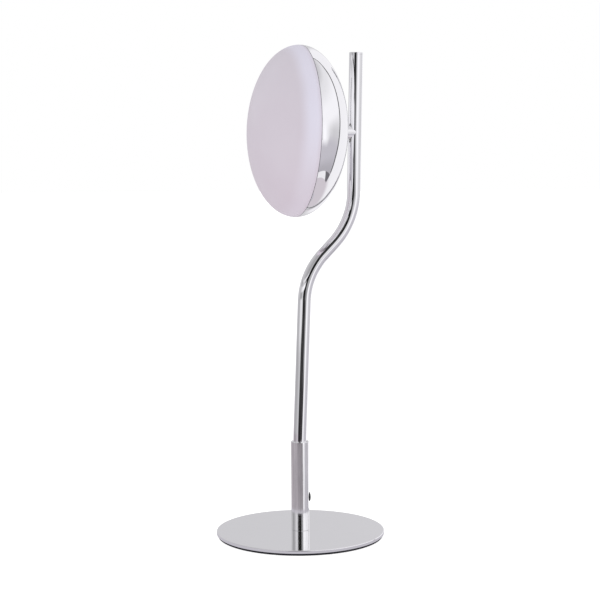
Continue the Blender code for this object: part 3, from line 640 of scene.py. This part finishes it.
MATERIALS = {
    "polished_metal": chrome(),
    "drawn_metal": chrome("drawn_chrome", (0.05, 0.12), haze=0.05, streaks=0.16),
    "opal_diffuser": opal(),
    "base_rubber": rubber("navy_foam", (0.004, 0.0036, 0.010), 4000.0),
    "black_rubber": rubber("black_rubber", (0.022, 0.022, 0.025), 2500.0),
    "steel_fixings": metal("turned_steel", (0.60, 0.60, 0.62), (0.22, 0.36), ALONG_Y, 3000.0, 0.15),
    "polished_steel": metal(
        "polished_steel", (0.74, 0.74, 0.76), (0.08, 0.16), ISOTROPIC, 900.0, 0.04),
    "inner_aluminium": metal(
        "rolled_aluminium", (0.78, 0.79, 0.80), (0.30, 0.42), ALONG_Z, 1800.0, 0.2),
    "white_plastic": plastic("white_plastic", (0.86, 0.86, 0.84), (0.42, 0.52), 3000.0, 0.2),
    "nylon_bearing": plastic("nylon", (0.80, 0.79, 0.74), (0.45, 0.58), 2200.0, 0.15, 1.53),
    "driver_case": plastic("dark_plastic", (0.05, 0.05, 0.058), (0.48, 0.62), 2600.0, 0.4),
    "light_board": board(),
    "lead_sheath": plastic("lead_sheath", (0.75, 0.75, 0.76), (0.50, 0.62), 1800.0, 0.15),
}


def give(obj, slot):
    obj.data.materials.clear()
    obj.data.materials.append(MATERIALS[slot])


def finish_piece(obj, slot, body, *nodes):
    """Give a new piece its finish, its body and the CAD nodes that it stands for."""
    give(obj, slot)
    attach(obj, body)
    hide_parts(*nodes)
    return obj


# ---------------------------------------------------------------- base

def make_base():
    plate = turned("base_plate_fine", rounded([
        (BOLT_HOLE, BASE_TOP, 0),
        (BASE_RADIUS, BASE_TOP, BASE_FILLET),
        (BASE_RADIUS, PLATE_BOTTOM, 0.3 * MM),
        (COUNTERSINK, PLATE_BOTTOM, 0),
    ]), BASE_SIDES)
    finish_piece(plate, "polished_metal", "base", "base_plate")
    pad = turned("base_pad_fine", rounded([
        (PAD_HOLE, PAD_TOP, 0.3 * MM),
        (PAD_RADIUS, PAD_TOP, 0.2 * MM),
        (PAD_RADIUS, 0, 0.4 * MM),
        (PAD_HOLE, 0, 0.3 * MM),
    ]), BASE_SIDES)
    finish_piece(pad, "base_rubber", "base", "base_pad")
    bolt = turned("base_bolt_fine", [
        (0, BOLT_BOTTOM + BOLT_SOCKET_DEPTH + 0.2 * MM),
        (hexagon(BOLT_SOCKET), BOLT_BOTTOM + BOLT_SOCKET_DEPTH),
        (hexagon(BOLT_SOCKET), BOLT_BOTTOM + BOLT_CHAMFER),
        (BOLT_SOCKET + 0.35 * MM, BOLT_BOTTOM),
        (BOLT_HEAD_RADIUS - 0.2 * MM, BOLT_BOTTOM),
        (BOLT_HEAD_RADIUS, BOLT_BOTTOM + BOLT_CHAMFER),
        (BOLT_RADIUS, BOLT_BOTTOM + BOLT_HEAD_RADIUS - BOLT_RADIUS),
        (BOLT_RADIUS, BOLT_END - 0.4 * MM),
        (BOLT_RADIUS - 0.4 * MM, BOLT_END),
        (0, BOLT_END),
    ], SMALL_SIDES)
    finish_piece(bolt, "steel_fixings", "base", "base_bolt")


def make_sleeve():
    sleeve = turned("stem_sleeve_fine", rounded([
        (SLEEVE_BORE, SLEEVE_TOP - 2 * MM, 0),
        (SLEEVE_BORE + 0.5 * MM, SLEEVE_TOP, 0.15 * MM),
        (SLEEVE_RADIUS, SLEEVE_TOP, 0.5 * MM),
        (SLEEVE_RADIUS, BASE_TOP + HAIRLINE, 0.25 * MM),
        (SLEEVE_BORE, BASE_TOP + HAIRLINE, 0),
    ]), TUBE_SIDES)
    cut_hole(sleeve, CORD_HOLE_RADIUS, (0, 0, CORD_HOLE_HEIGHT), "+Y", 2 * SLEEVE_RADIUS)
    cut_hole(sleeve, SET_SCREW_HOLE, (0, 0, GROOVE_HEIGHT), "-X", 2 * SLEEVE_RADIUS)
    set_round_normals(sleeve, SLEEVE_RADIUS, lambda p: Vector((0, 0, p.z)))
    finish_piece(sleeve, "polished_metal", "base", "stem_sleeve")
    give(sleeve, "drawn_metal")     # the same chrome, but streaked along its length

    saddle_radius = SLEEVE_RADIUS + HAIRLINE
    neck = CORD_HOLE_RADIUS - GAP
    edge = CORD_FLANGE_ROUND
    bushing = turned("cord_bushing_fine", [
        (CORD_BORE, CORD_FLANGE_BACK - edge),
        (CORD_BORE + 0.3 * edge, CORD_FLANGE_BACK - 0.3 * edge),
        (CORD_BORE + edge, CORD_FLANGE_BACK),
        (CORD_FLANGE_RADIUS - edge, CORD_FLANGE_BACK),
        (CORD_FLANGE_RADIUS - 0.3 * edge, CORD_FLANGE_BACK - 0.3 * edge),
        (CORD_FLANGE_RADIUS, CORD_FLANGE_BACK - edge),
        (CORD_FLANGE_RADIUS, saddle(0, saddle_radius, CORD_FLANGE_RADIUS, 1)),
        (neck, saddle(0, saddle_radius, neck, 1)),
        (neck, SLEEVE_BORE + GAP),
        (CORD_BORE, SLEEVE_BORE + GAP),
    ], SMALL_SIDES, (0, 0, CORD_HOLE_HEIGHT), "+Y")
    finish_piece(bushing, "black_rubber", "base", "cord_bushing")

    back = SLEEVE_RADIUS - GAP
    set_screw = turned("stem_set_screw_fine", [
        (0, back - SET_SCREW_SOCKET_DEPTH - 0.1 * MM),
        (hexagon(SET_SCREW_SOCKET), back - SET_SCREW_SOCKET_DEPTH),
        (hexagon(SET_SCREW_SOCKET), back - 0.1 * MM),
        (SET_SCREW_SOCKET + SET_SCREW_CHAMFER, back),
        (SET_SCREW_RADIUS - SET_SCREW_CHAMFER, back),
        (SET_SCREW_RADIUS, back - SET_SCREW_CHAMFER),
        (SET_SCREW_RADIUS, SET_SCREW_TIP + 0.5 * MM),
        (SET_SCREW_POINT, SET_SCREW_TIP),
        (0, SET_SCREW_TIP),
    ], SMALL_SIDES, (0, 0, GROOVE_HEIGHT), "-X")
    finish_piece(set_screw, "steel_fixings", "base", "stem_set_screw")


# ---------------------------------------------------------------- stem

def make_stem():
    groove_low, groove_high = GROOVE_HEIGHT - GROOVE_HALF, GROOVE_HEIGHT + GROOVE_HALF
    chamfer = 0.3 * MM
    outer = [(ROUTE[0], STEM_RADIUS - chamfer), ((0, STEM_FOOT + chamfer, 0), STEM_RADIUS)]
    outer += [((0, groove_low, 0), r) for r in (STEM_RADIUS, GROOVE_FLOOR)]
    outer += [((0, groove_high, 0), r) for r in (GROOVE_FLOOR, STEM_RADIUS)]
    outer += [(station, STEM_RADIUS) for station in ROUTE[1:]]
    inner = [(station, STEM_BORE) for station in ROUTE]
    bm = bmesh.new()
    rings = [tube_ring(bm, station, radius) for station, radius in outer + inner[::-1]]
    for ring, following in zip(rings, rings[1:] + rings[:1]):
        bridge(bm, ring, following)
    tube = add_object("stem_tube_fine", finished_mesh("stem_tube_fine", bm))
    cut_hole(tube, LEAD_HOLE, (0, STEM_BACK, HEAD_HEIGHT), "-Y", 2 * STEM_RADIUS)
    set_round_normals(tube, STEM_RADIUS, nearest_on_stem)
    finish_piece(tube, "polished_metal", "stem", "stem_tube")

    disc_bottom = -CAP_THICKNESS
    spigot = STEM_BORE - GAP
    cap = turned("stem_top_cap_fine", rounded([
        (0, 0, 0),
        (STEM_RADIUS, 0, CAP_ROUND),
        (STEM_RADIUS, disc_bottom, 0.1 * MM),
        (spigot, disc_bottom, 0),
        (spigot, disc_bottom - CAP_SPIGOT, 0.3 * MM),
        (0, disc_bottom - CAP_SPIGOT, 0),
    ]), TUBE_SIDES)
    stem_end = Matrix.Translation((0, upper_run_y(STEM_TOP), STEM_TOP))
    move_mesh(cap, stem_end @ Matrix.Rotation(-UPPER_LEAN, 4, "X"))
    finish_piece(cap, "polished_metal", "stem", "stem_top_cap")

    cope_radius = STEM_RADIUS + HAIRLINE
    tip = 0.12 * MM

    def cope(radius, back_off=0.0):
        rim = saddle(STEM_BACK - back_off, cope_radius, radius, -1, UPPER_LEAN)
        return radius, rim

    # The front edge is a quarter round in four steps
    edge = 0.5 * MM
    front = [
        (STEM_RADIUS, STUB_FRONT + edge),
        (STEM_RADIUS - 0.08 * edge, STUB_FRONT + 0.62 * edge),
        (STEM_RADIUS - 0.29 * edge, STUB_FRONT + 0.29 * edge),
        (STEM_RADIUS - 0.62 * edge, STUB_FRONT + 0.08 * edge),
        (STEM_RADIUS - edge, STUB_FRONT),
        (STUB_SOCKET + 0.2 * MM, STUB_FRONT),
        (STUB_SOCKET, STUB_FRONT + 0.2 * MM),
        (STUB_SOCKET, STUB_SOCKET_END),
        (LEAD_HOLE, STUB_SOCKET_END),
    ]
    back = [cope(LEAD_HOLE), cope(STEM_RADIUS - tip), cope(STEM_RADIUS, tip)]
    stub = turned("neck_stub_fine", back + front, TUBE_SIDES, (0, 0, HEAD_HEIGHT), "+Y")
    set_round_normals(stub, STEM_RADIUS, lambda p: Vector((0, p.y, HEAD_HEIGHT)))
    finish_piece(stub, "polished_metal", "stem", "neck_stub")

    front_degrees = 180 - math.degrees(math.asin(BALL_FRONT_RADIUS / BALL_RADIUS))
    neck_degrees = math.degrees(math.asin(NECK_RADIUS / BALL_RADIUS))
    front_height = BALL_RADIUS * math.cos(math.radians(front_degrees))
    nipple_end = NECK_END - BALL_Y
    outline = [
        (NECK_BORE, nipple_end),
        (NECK_RADIUS - 0.2 * MM, nipple_end),
        (NECK_RADIUS, nipple_end - 0.2 * MM),
        *ball_arc(BALL_RADIUS, neck_degrees, front_degrees, BALL_STEPS),
        (BALL_FRONT_BORE, front_height),
        (NECK_BORE, 0),
    ]
    ball = turned("swivel_ball_fine", outline, TUBE_SIDES, (0, BALL_Y, HEAD_HEIGHT), "+Y")
    finish_piece(ball, "polished_steel", "stem", "swivel_ball")


# ---------------------------------------------------------------- head

def tilt_head(obj):
    """Turn a piece of the head about the ball's centre, to where the head rests."""
    pivot = Vector((0, BALL_Y, HEAD_HEIGHT))
    tilt = Matrix.Rotation(HEAD_TILT, 4, "X")
    move_mesh(obj, Matrix.Translation(pivot) @ tilt @ Matrix.Translation(-pivot))


def make_head():
    outer_lip, inner_lip = 0.35 * MM, 0.25 * MM
    wall_radius, wall_depth = HEAD_RADIUS - SHELL_WALL, HEAD_DEPTH - SHELL_WALL
    outer = lens_arc(HEAD_RADIUS, HEAD_DEPTH, HEAD_RADIUS, SHELL_OPENING, LENS_STEPS)
    inner = lens_arc(wall_radius, wall_depth, SHELL_OPENING, wall_radius, INNER_LENS_STEPS)
    corners = [(*outer[-2], 0), (*outer[-1], outer_lip), (*inner[0], inner_lip), (*inner[1], 0)]
    outline = outer[:-1] + rounded(corners)[1:-1] + inner[1:]
    shell = turned("rear_shell_fine", outline, HEAD_SIDES, (0, SEAM_Y, HEAD_HEIGHT), "+Y")
    tilt_head(shell)
    finish_piece(shell, "polished_metal", "head", "rear_shell")

    shoulder = HEAD_RADIUS * math.sqrt(1 - (DIFFUSER_GAP / HEAD_DEPTH) ** 2)
    front = lens_arc(HEAD_RADIUS, HEAD_DEPTH, shoulder, 0, LENS_STEPS)
    wall_radius, wall_depth = HEAD_RADIUS - DIFFUSER_WALL, HEAD_DEPTH - DIFFUSER_WALL
    back = lens_arc(wall_radius, wall_depth, 0, COLLAR_MEETS, INNER_LENS_STEPS)
    collar = [
        (COLLAR_INNER, COLLAR_FRONT),
        (COLLAR_INNER, -COLLAR_BACK),
        (COLLAR_OUTER, -COLLAR_BACK),
        (COLLAR_OUTER, DIFFUSER_GAP),
    ]
    outline = back + collar + front
    diffuser = turned("diffuser_fine", outline, HEAD_SIDES, (0, SEAM_Y, HEAD_HEIGHT), "-Y")
    tilt_head(diffuser)
    finish_piece(diffuser, "opal_diffuser", "head", "diffuser")


# ---------------------------------------------------------------- stage

# What the polished metal mirrors is a studio of soft walls. Its brightness was set as stops
# of (degrees, brightness). 0 is the side that the viewer of the main picture is on, and the degrees
# grow towards the right of that picture. The dark stops are the gap between the walls on that side.
OVER_CORNER = (
    (-180, 0.80), (-105, 0.75), (-76, 0.70), (-55, 0.66), (-45, 0.62), (-34, 0.64), (-28, 0.74),
    (-20, 0.66), (-16, 0.20), (-8, 0.18), (8, 0.24), (12, 0.40), (15, 0.90), (24, 0.99), (110, 0.97),
    (150, 0.88), (180, 0.80),
)
HIGH_CORNER = (
    (-180, 0.80), (-123, 0.83), (-95, 0.73), (-73, 0.83), (-53, 0.94), (-36, 1.0), (-26, 1.0),
    (-20, 0.80), (-16, 0.09), (10, 0.09), (14, 0.20), (17, 0.88), (26, 0.98), (110, 0.97),
    (150, 0.88), (180, 0.80),
)
SLEEVE_FOOT = (
    (-180, 0.80), (-123, 0.70), (-95, 0.60), (-75, 0.72), (-50, 0.82), (-36, 0.78), (-29, 0.14),
    (10, 0.09), (14, 0.50), (40, 0.62), (60, 0.93), (80, 0.90), (100, 0.97), (150, 0.88), (180, 0.80),
)
HIGH_WALL = (
    (-180, 0.80), (-128, 0.79), (-98, 0.75), (-76, 0.66), (-56, 0.62), (-45, 0.76), (-38, 0.84),
    (-31, 0.80), (-28, 0.06), (-12, 0.06), (-2, 0.10), (5, 0.50), (13, 0.65), (21, 0.82), (30, 0.96),
    (48, 1.0), (60, 0.93), (72, 0.86), (89, 0.81), (112, 0.82), (122, 0.92), (150, 0.93),
    (168, 0.88), (180, 0.80),
)
LOW_WALL = (
    (-180, 0.85), (-152, 0.87), (-111, 0.70), (-85, 0.72), (-64, 0.88), (-51, 0.92), (-40, 0.88),
    (-27, 0.70), (-24, 0.04), (-8, 0.05), (0, 0.24), (8, 0.32), (11, 0.55), (26, 0.62), (35, 0.78),
    (53, 0.90), (65, 0.80), (73, 0.76), (95, 0.76), (125, 0.88), (152, 0.93), (180, 0.85),
)
DESK_BACK = (
    (-180, 0.85), (-152, 0.86), (-111, 0.66), (-85, 0.67), (-64, 0.73), (-45, 0.79), (-37, 0.76),
    (-34, 0.22), (-20, 0.20), (-3, 0.27), (0, 0.16), (13, 0.17), (17, 0.55), (31, 0.62), (36, 0.75),
    (59, 0.74), (80, 0.70), (104, 0.87), (152, 0.90), (180, 0.85),
)
DESK_EDGE = (
    (-180, 0.85), (-152, 0.84), (-113, 0.60), (-87, 0.61), (-65, 0.68), (-46, 0.80), (-38, 0.76),
    (-34, 0.32), (-22, 0.26), (-18, 0.13), (-4, 0.15), (1, 0.24), (22, 0.23), (38, 0.30), (43, 0.40),
    (52, 0.76), (104, 0.85), (180, 0.85),
)
UNDER_CORNER = (
    (-180, 0.82), (-60, 0.78), (-28, 0.74), (-16, 0.40), (-7, 0.30), (4, 0.80), (12, 0.97),
    (46, 0.96), (58, 0.82), (74, 0.70), (100, 0.70), (125, 0.85), (180, 0.82),
)
TABLE = (
    (-180, 0.78), (-150, 0.74), (-116, 0.67), (-95, 0.66), (-78, 0.68), (-62, 0.64), (-48, 0.66),
    (-35, 0.67), (-24, 0.60), (-9, 0.61), (4, 0.57), (16, 0.60), (26, 0.54), (34, 0.53), (180, 0.78),
)
COOL = (0.99, 0.985, 1.0)
PINKISH = (1.0, 0.965, 1.0)
LAVENDER = (0.975, 0.96, 1.0)

# Where the walls meet, in degrees above the horizon
FOOT_OF_HIGH_WALL = -2.4, 1.2
FOOT_OF_LOW_WALL = -5.2, -4.0
FOOT_OF_DESK_BACK = -8.6, -7.8
FOOT_OF_DESK_EDGE = -11.6, -10.8
FOOT_OF_HIGH_CORNER = 5.0, 8.0
SLEEVE_FOOT_BAND = 12.3, 17.0
FOOT_OF_OVER_CORNER = 17.0, 23.0
FOOT_OF_CEILING = 58.0, 75.0
CEILING = 0.92

# The side that the shell mirrors: its azimuths, and its brightness from the horizon up and down
SHELL_SIDE = 36, 172
SIDE_SOFTNESS = 4.0
SIDE_OVER_HORIZON = (-2.0, 14.0, 0.97), (22.0, 50.0, 0.90), (50.0, 68.0, 0.80)
SIDE_BELOW = -14.0, -1.0, 0.77
SIDE_BELOW_LATER = 58.0, 74.0, 7.0  # before these azimuths it begins this much lower

# A slanting line on it, 0.3 degrees higher for each degree round, over two boxes and the low floor
SLANT = 0.3, -66.5
OVER_SLANT = 2.0, 20.0, 0.70
LOW_FLOOR = 0.80
BOX_LEAN = 1.9
BOX_HEIGHT = -9.5, 0.0
LIGHT_BOX_END = 84.0, 86.0
LIGHT_BOX = 0.93
DARK_BOX_SPAN = 85.0, 124.0
DARK_BOX = 0.44

# A thin dark line that stands on it and curls at its top, and what lies beyond
LINE_AT = 118.0
LINE_LEAN = 0.3
LINE_LEANS_FROM = -18.0
LINE_CURL = 0.05
LINE_CURLS_FROM = 40.0
LINE_HALF = 2.2
LINE_HEIGHT = -31.0, 62.0
LINE = 0.36
BEYOND_LINE = 1.0, 3.0
BEYOND_FOOT = -44.0, -30.0
BEYOND = 0.95

# The floor that shows, and the table and the floor that only the metal shows
FLOOR_RADIUS = 12.0
FLOOR_GREY = 0.50
FLOOR_GLOW = 0.80
FLOOR_HEIGHT = -0.4 * MM
TABLE_RADIUS = 0.56
TABLE_FROM, TABLE_TO = -150, 34
TABLE_HEIGHT = -0.3 * MM
NEAR_RADIUS = 0.13
NEAR_HEIGHT = -0.2 * MM
NEAR_FLOOR = 0.76
FAN_STEPS = 96

toward_viewer = Vector((math.sin(CAMERA_AZIMUTH), -math.cos(CAMERA_AZIMUTH), 0.0))
to_the_right = Vector((math.cos(CAMERA_AZIMUTH), math.sin(CAMERA_AZIMUTH), 0.0))


def linear(level):
    """A display brightness of 0 to 1 as a linear one."""
    return level / 12.92 if level <= 0.04045 else ((level + 0.055) / 1.055) ** 2.4


def plain(level, tint=COOL):
    """The colour of a light that the chrome shows at a display brightness."""
    return (*(linear(level * part) / CHROME[0] for part in tint), 1.0)


def wall(graph, azimuth, levels, tint=COOL):
    """The colour of a wall by the degrees round."""
    stops = [((degrees + 180) / 360, plain(level, tint)) for degrees, level in levels]
    return graph.ramp(graph.math("MULTIPLY_ADD", azimuth, 1 / 360, 0.5), stops)


def degrees_round(graph, vector):
    """The direction of a vector, in degrees from the viewer's side."""
    across = graph.dot(vector, to_the_right)
    return graph.math("DEGREES", graph.math("ARCTAN2", across, graph.dot(vector, toward_viewer)))


def within(graph, number, low, high, soft):
    """1 between two values, with soft edges."""
    rising = graph.step(number, low - soft, low + soft)
    return graph.math("MULTIPLY", rising, graph.step(number, high - soft, high + soft, 1.0, 0.0))


def walls_round(graph, azimuth, elevation):
    """What the stem, the sleeve and the base mirror."""
    seen = wall(graph, azimuth, HIGH_WALL)
    for foot, levels, tint in (
            (FOOT_OF_HIGH_WALL, LOW_WALL, COOL), (FOOT_OF_LOW_WALL, DESK_BACK, COOL),
            (FOOT_OF_DESK_BACK, DESK_EDGE, PINKISH), (FOOT_OF_DESK_EDGE, UNDER_CORNER, COOL)):
        seen = graph.mix(graph.step(elevation, *foot), wall(graph, azimuth, levels, tint), seen)
    for factor, levels in (
            (graph.step(elevation, *FOOT_OF_HIGH_CORNER), HIGH_CORNER),
            (within(graph, elevation, *SLEEVE_FOOT_BAND, 0.5), SLEEVE_FOOT),
            (graph.step(elevation, *FOOT_OF_OVER_CORNER), OVER_CORNER)):
        seen = graph.mix(factor, seen, wall(graph, azimuth, levels))
    return graph.mix(graph.step(elevation, *FOOT_OF_CEILING), seen, plain(CEILING))


def slanting_line(graph, azimuth, elevation, seen):
    """Add the slanting line, with a lavender wall above it and two boxes and the low floor below."""
    slope, start = SLANT
    above = graph.math("SUBTRACT", elevation, graph.math("MULTIPLY_ADD", azimuth, slope, start))
    low, high, level = OVER_SLANT
    seen = graph.mix(graph.step(above, low, high), plain(level, LAVENDER), seen)
    seen = graph.mix(graph.step(above, -0.5, 0.5), plain(LOW_FLOOR, PINKISH), seen)
    beside = graph.math("MULTIPLY_ADD", above, BOX_LEAN, azimuth)
    box_height = within(graph, above, *BOX_HEIGHT, 0.5)
    light_part = graph.step(beside, *LIGHT_BOX_END, 1.0, 0.0)
    seen = graph.mix(graph.math("MULTIPLY", box_height, light_part), seen, plain(LIGHT_BOX))
    dark_part = within(graph, beside, *DARK_BOX_SPAN, 1.0)
    return graph.mix(graph.math("MULTIPLY", box_height, dark_part), seen, plain(DARK_BOX, LAVENDER))


def standing_line(graph, azimuth, elevation, seen):
    """Add the thin dark line, and the white wall beyond it."""
    lean = graph.math("MULTIPLY", graph.math("MAXIMUM", elevation, LINE_LEANS_FROM), LINE_LEAN)
    over = graph.math("MAXIMUM", graph.math("SUBTRACT", elevation, LINE_CURLS_FROM), 0.0)
    curled = graph.math("MULTIPLY_ADD", graph.math("POWER", over, 2.0), LINE_CURL, LINE_AT)
    past_line = graph.math("SUBTRACT", azimuth, graph.math("ADD", curled, lean))
    foot = graph.step(elevation, *BEYOND_FOOT)
    beyond = graph.mix(foot, plain(LOW_FLOOR, PINKISH), plain(BEYOND))
    seen = graph.mix(graph.step(past_line, *BEYOND_LINE), seen, beyond)
    line_height = within(graph, elevation, *LINE_HEIGHT, 1.0)
    thin = within(graph, past_line, -LINE_HALF, LINE_HALF, 0.6)
    return graph.mix(graph.math("MULTIPLY", line_height, thin), seen, plain(LINE))


def shell_side(graph, azimuth, elevation):
    """What the shell mirrors: a pale wall that darkens downwards, and the lines on it."""
    seen = wall(graph, azimuth, HIGH_WALL)
    for low, high, level in SIDE_OVER_HORIZON:
        seen = graph.mix(graph.step(elevation, low, high), seen, plain(level))
    first, last, lift = SIDE_BELOW_LATER
    lifted = graph.math("ADD", elevation, graph.step(azimuth, first, last, lift, 0.0))
    low, high, level = SIDE_BELOW
    seen = graph.mix(graph.step(lifted, low, high), plain(level, LAVENDER), seen)
    return standing_line(graph, azimuth, elevation, slanting_line(graph, azimuth, elevation, seen))


def studio_light(tree):
    """White for the camera and for diffuse light; what the polished metal mirrors is a studio."""
    tree.nodes.clear()
    graph = Graph(tree)
    direction = graph.node("ShaderNodeTexCoord").outputs["Generated"]
    azimuth = degrees_round(graph, direction)
    elevation = graph.math("DEGREES", graph.math("ARCSINE", graph.dot(direction, (0.0, 0.0, 1.0))))
    side = within(graph, azimuth, *SHELL_SIDE, SIDE_SOFTNESS)
    around = walls_round(graph, azimuth, elevation)
    seen = graph.mix(side, around, shell_side(graph, azimuth, elevation))

    light = graph.node("ShaderNodeBackground")
    graph.join(light.inputs["Color"], seen)
    white = graph.node("ShaderNodeBackground")
    white.inputs["Color"].default_value = (1.0, 1.0, 1.0, 1.0)
    white.inputs["Strength"].default_value = 1.0
    path = graph.node("ShaderNodeLightPath")
    lit = graph.node("ShaderNodeMixShader")
    graph.join(lit.inputs[0], path.outputs["Is Glossy Ray"])
    graph.join(lit.inputs[1], white.outputs[0])
    graph.join(lit.inputs[2], light.outputs[0])
    output = graph.node("ShaderNodeOutputWorld")
    graph.join(output.inputs["Surface"], lit.outputs[0])


def stage_fan(name, radius, height, first, last, material):
    """A flat fan round the middle of the base, between two directions in degrees."""
    bm = bmesh.new()
    middle = bm.verts.new((0, 0, height))
    rim = []
    for i in range(FAN_STEPS + 1):
        turn = math.radians(first + (last - first) * i / FAN_STEPS)
        spot = (toward_viewer * math.cos(turn) + to_the_right * math.sin(turn)) * radius
        rim.append(bm.verts.new((spot.x, spot.y, height)))
    for one, other in zip(rim, rim[1:]):
        bm.faces.new((middle, one, other))
    mesh = bpy.data.meshes.new(name)
    bm.to_mesh(mesh)
    bm.free()
    obj = add_object(name, mesh)
    obj.data.materials.append(material)
    return obj


def glowing(name):
    """A plain glow, with the graph and the node that its colour is set in."""
    material = bpy.data.materials.new(name)
    material.use_nodes = True
    material.node_tree.nodes.clear()
    graph = Graph(material.node_tree)
    glow = graph.node("ShaderNodeEmission")
    output = graph.node("ShaderNodeOutputMaterial")
    graph.join(output.inputs["Surface"], glow.outputs[0])
    return material, graph, glow


def show_only_mirrored(obj):
    obj.visible_camera = False
    obj.visible_diffuse = False
    obj.visible_shadow = False


def make_stage():
    scene = bpy.context.scene
    scene.view_settings.view_transform = "Standard"
    world = bpy.data.worlds.new("studio")
    scene.world = world
    world.use_nodes = True
    studio_light(world.node_tree)

    material = bpy.data.materials.new("pale_floor")
    material.use_nodes = True
    shader = material.node_tree.nodes["Principled BSDF"]
    shader.inputs["Base Color"].default_value = (FLOOR_GREY, FLOOR_GREY, FLOOR_GREY, 1.0)
    shader.inputs["Roughness"].default_value = 0.9
    shader.inputs["Specular IOR Level"].default_value = 0.0
    shader.inputs["Emission Color"].default_value = (1.0, 1.0, 1.0, 1.0)
    shader.inputs["Emission Strength"].default_value = FLOOR_GLOW
    floor = stage_fan("floor", FLOOR_RADIUS, FLOOR_HEIGHT, 0, 360, material)
    floor.visible_glossy = False

    material, graph, glow = glowing("mirrored_table")
    place = graph.node("ShaderNodeTexCoord").outputs["Object"]
    graph.join(glow.inputs["Color"], wall(graph, degrees_round(graph, place), TABLE, PINKISH))
    table = stage_fan("mirrored_table", TABLE_RADIUS, TABLE_HEIGHT, TABLE_FROM, TABLE_TO, material)
    show_only_mirrored(table)

    material, graph, glow = glowing("mirrored_floor")
    graph.join(glow.inputs["Color"], plain(NEAR_FLOOR, LAVENDER))
    near_floor = stage_fan("mirrored_floor", NEAR_RADIUS, NEAR_HEIGHT, 0, 360, material)
    show_only_mirrored(near_floor)


def make_camera():
    data = bpy.data.cameras.new("camera")
    data.lens = CAMERA_LENS
    data.sensor_width = CAMERA_SENSOR
    camera = bpy.data.objects.new("camera", data)
    bpy.context.collection.objects.link(camera)
    place = toward_viewer * CAMERA_DISTANCE + to_the_right * CAMERA_SHIFT
    place.z = CAMERA_HEIGHT
    turn = Matrix.Rotation(CAMERA_AZIMUTH, 4, "Z")
    pitch = Matrix.Rotation(math.pi / 2 + CAMERA_PITCH, 4, "X")
    roll = Matrix.Rotation(CAMERA_ROLL, 4, "Z")
    camera.matrix_world = Matrix.Translation(place) @ turn @ pitch @ roll
    bpy.context.scene.camera = camera


# ---------------------------------------------------------------- the scene

def dress_cad_nodes():
    """Give every CAD node the material of its slot."""
    for row in frame["record"]["subparts"]:
        give(frame["nodes"][row["node"]], row["material_slot"])


dress_cad_nodes()
make_base()
make_sleeve()
make_stem()
make_head()
make_stage()
make_camera()
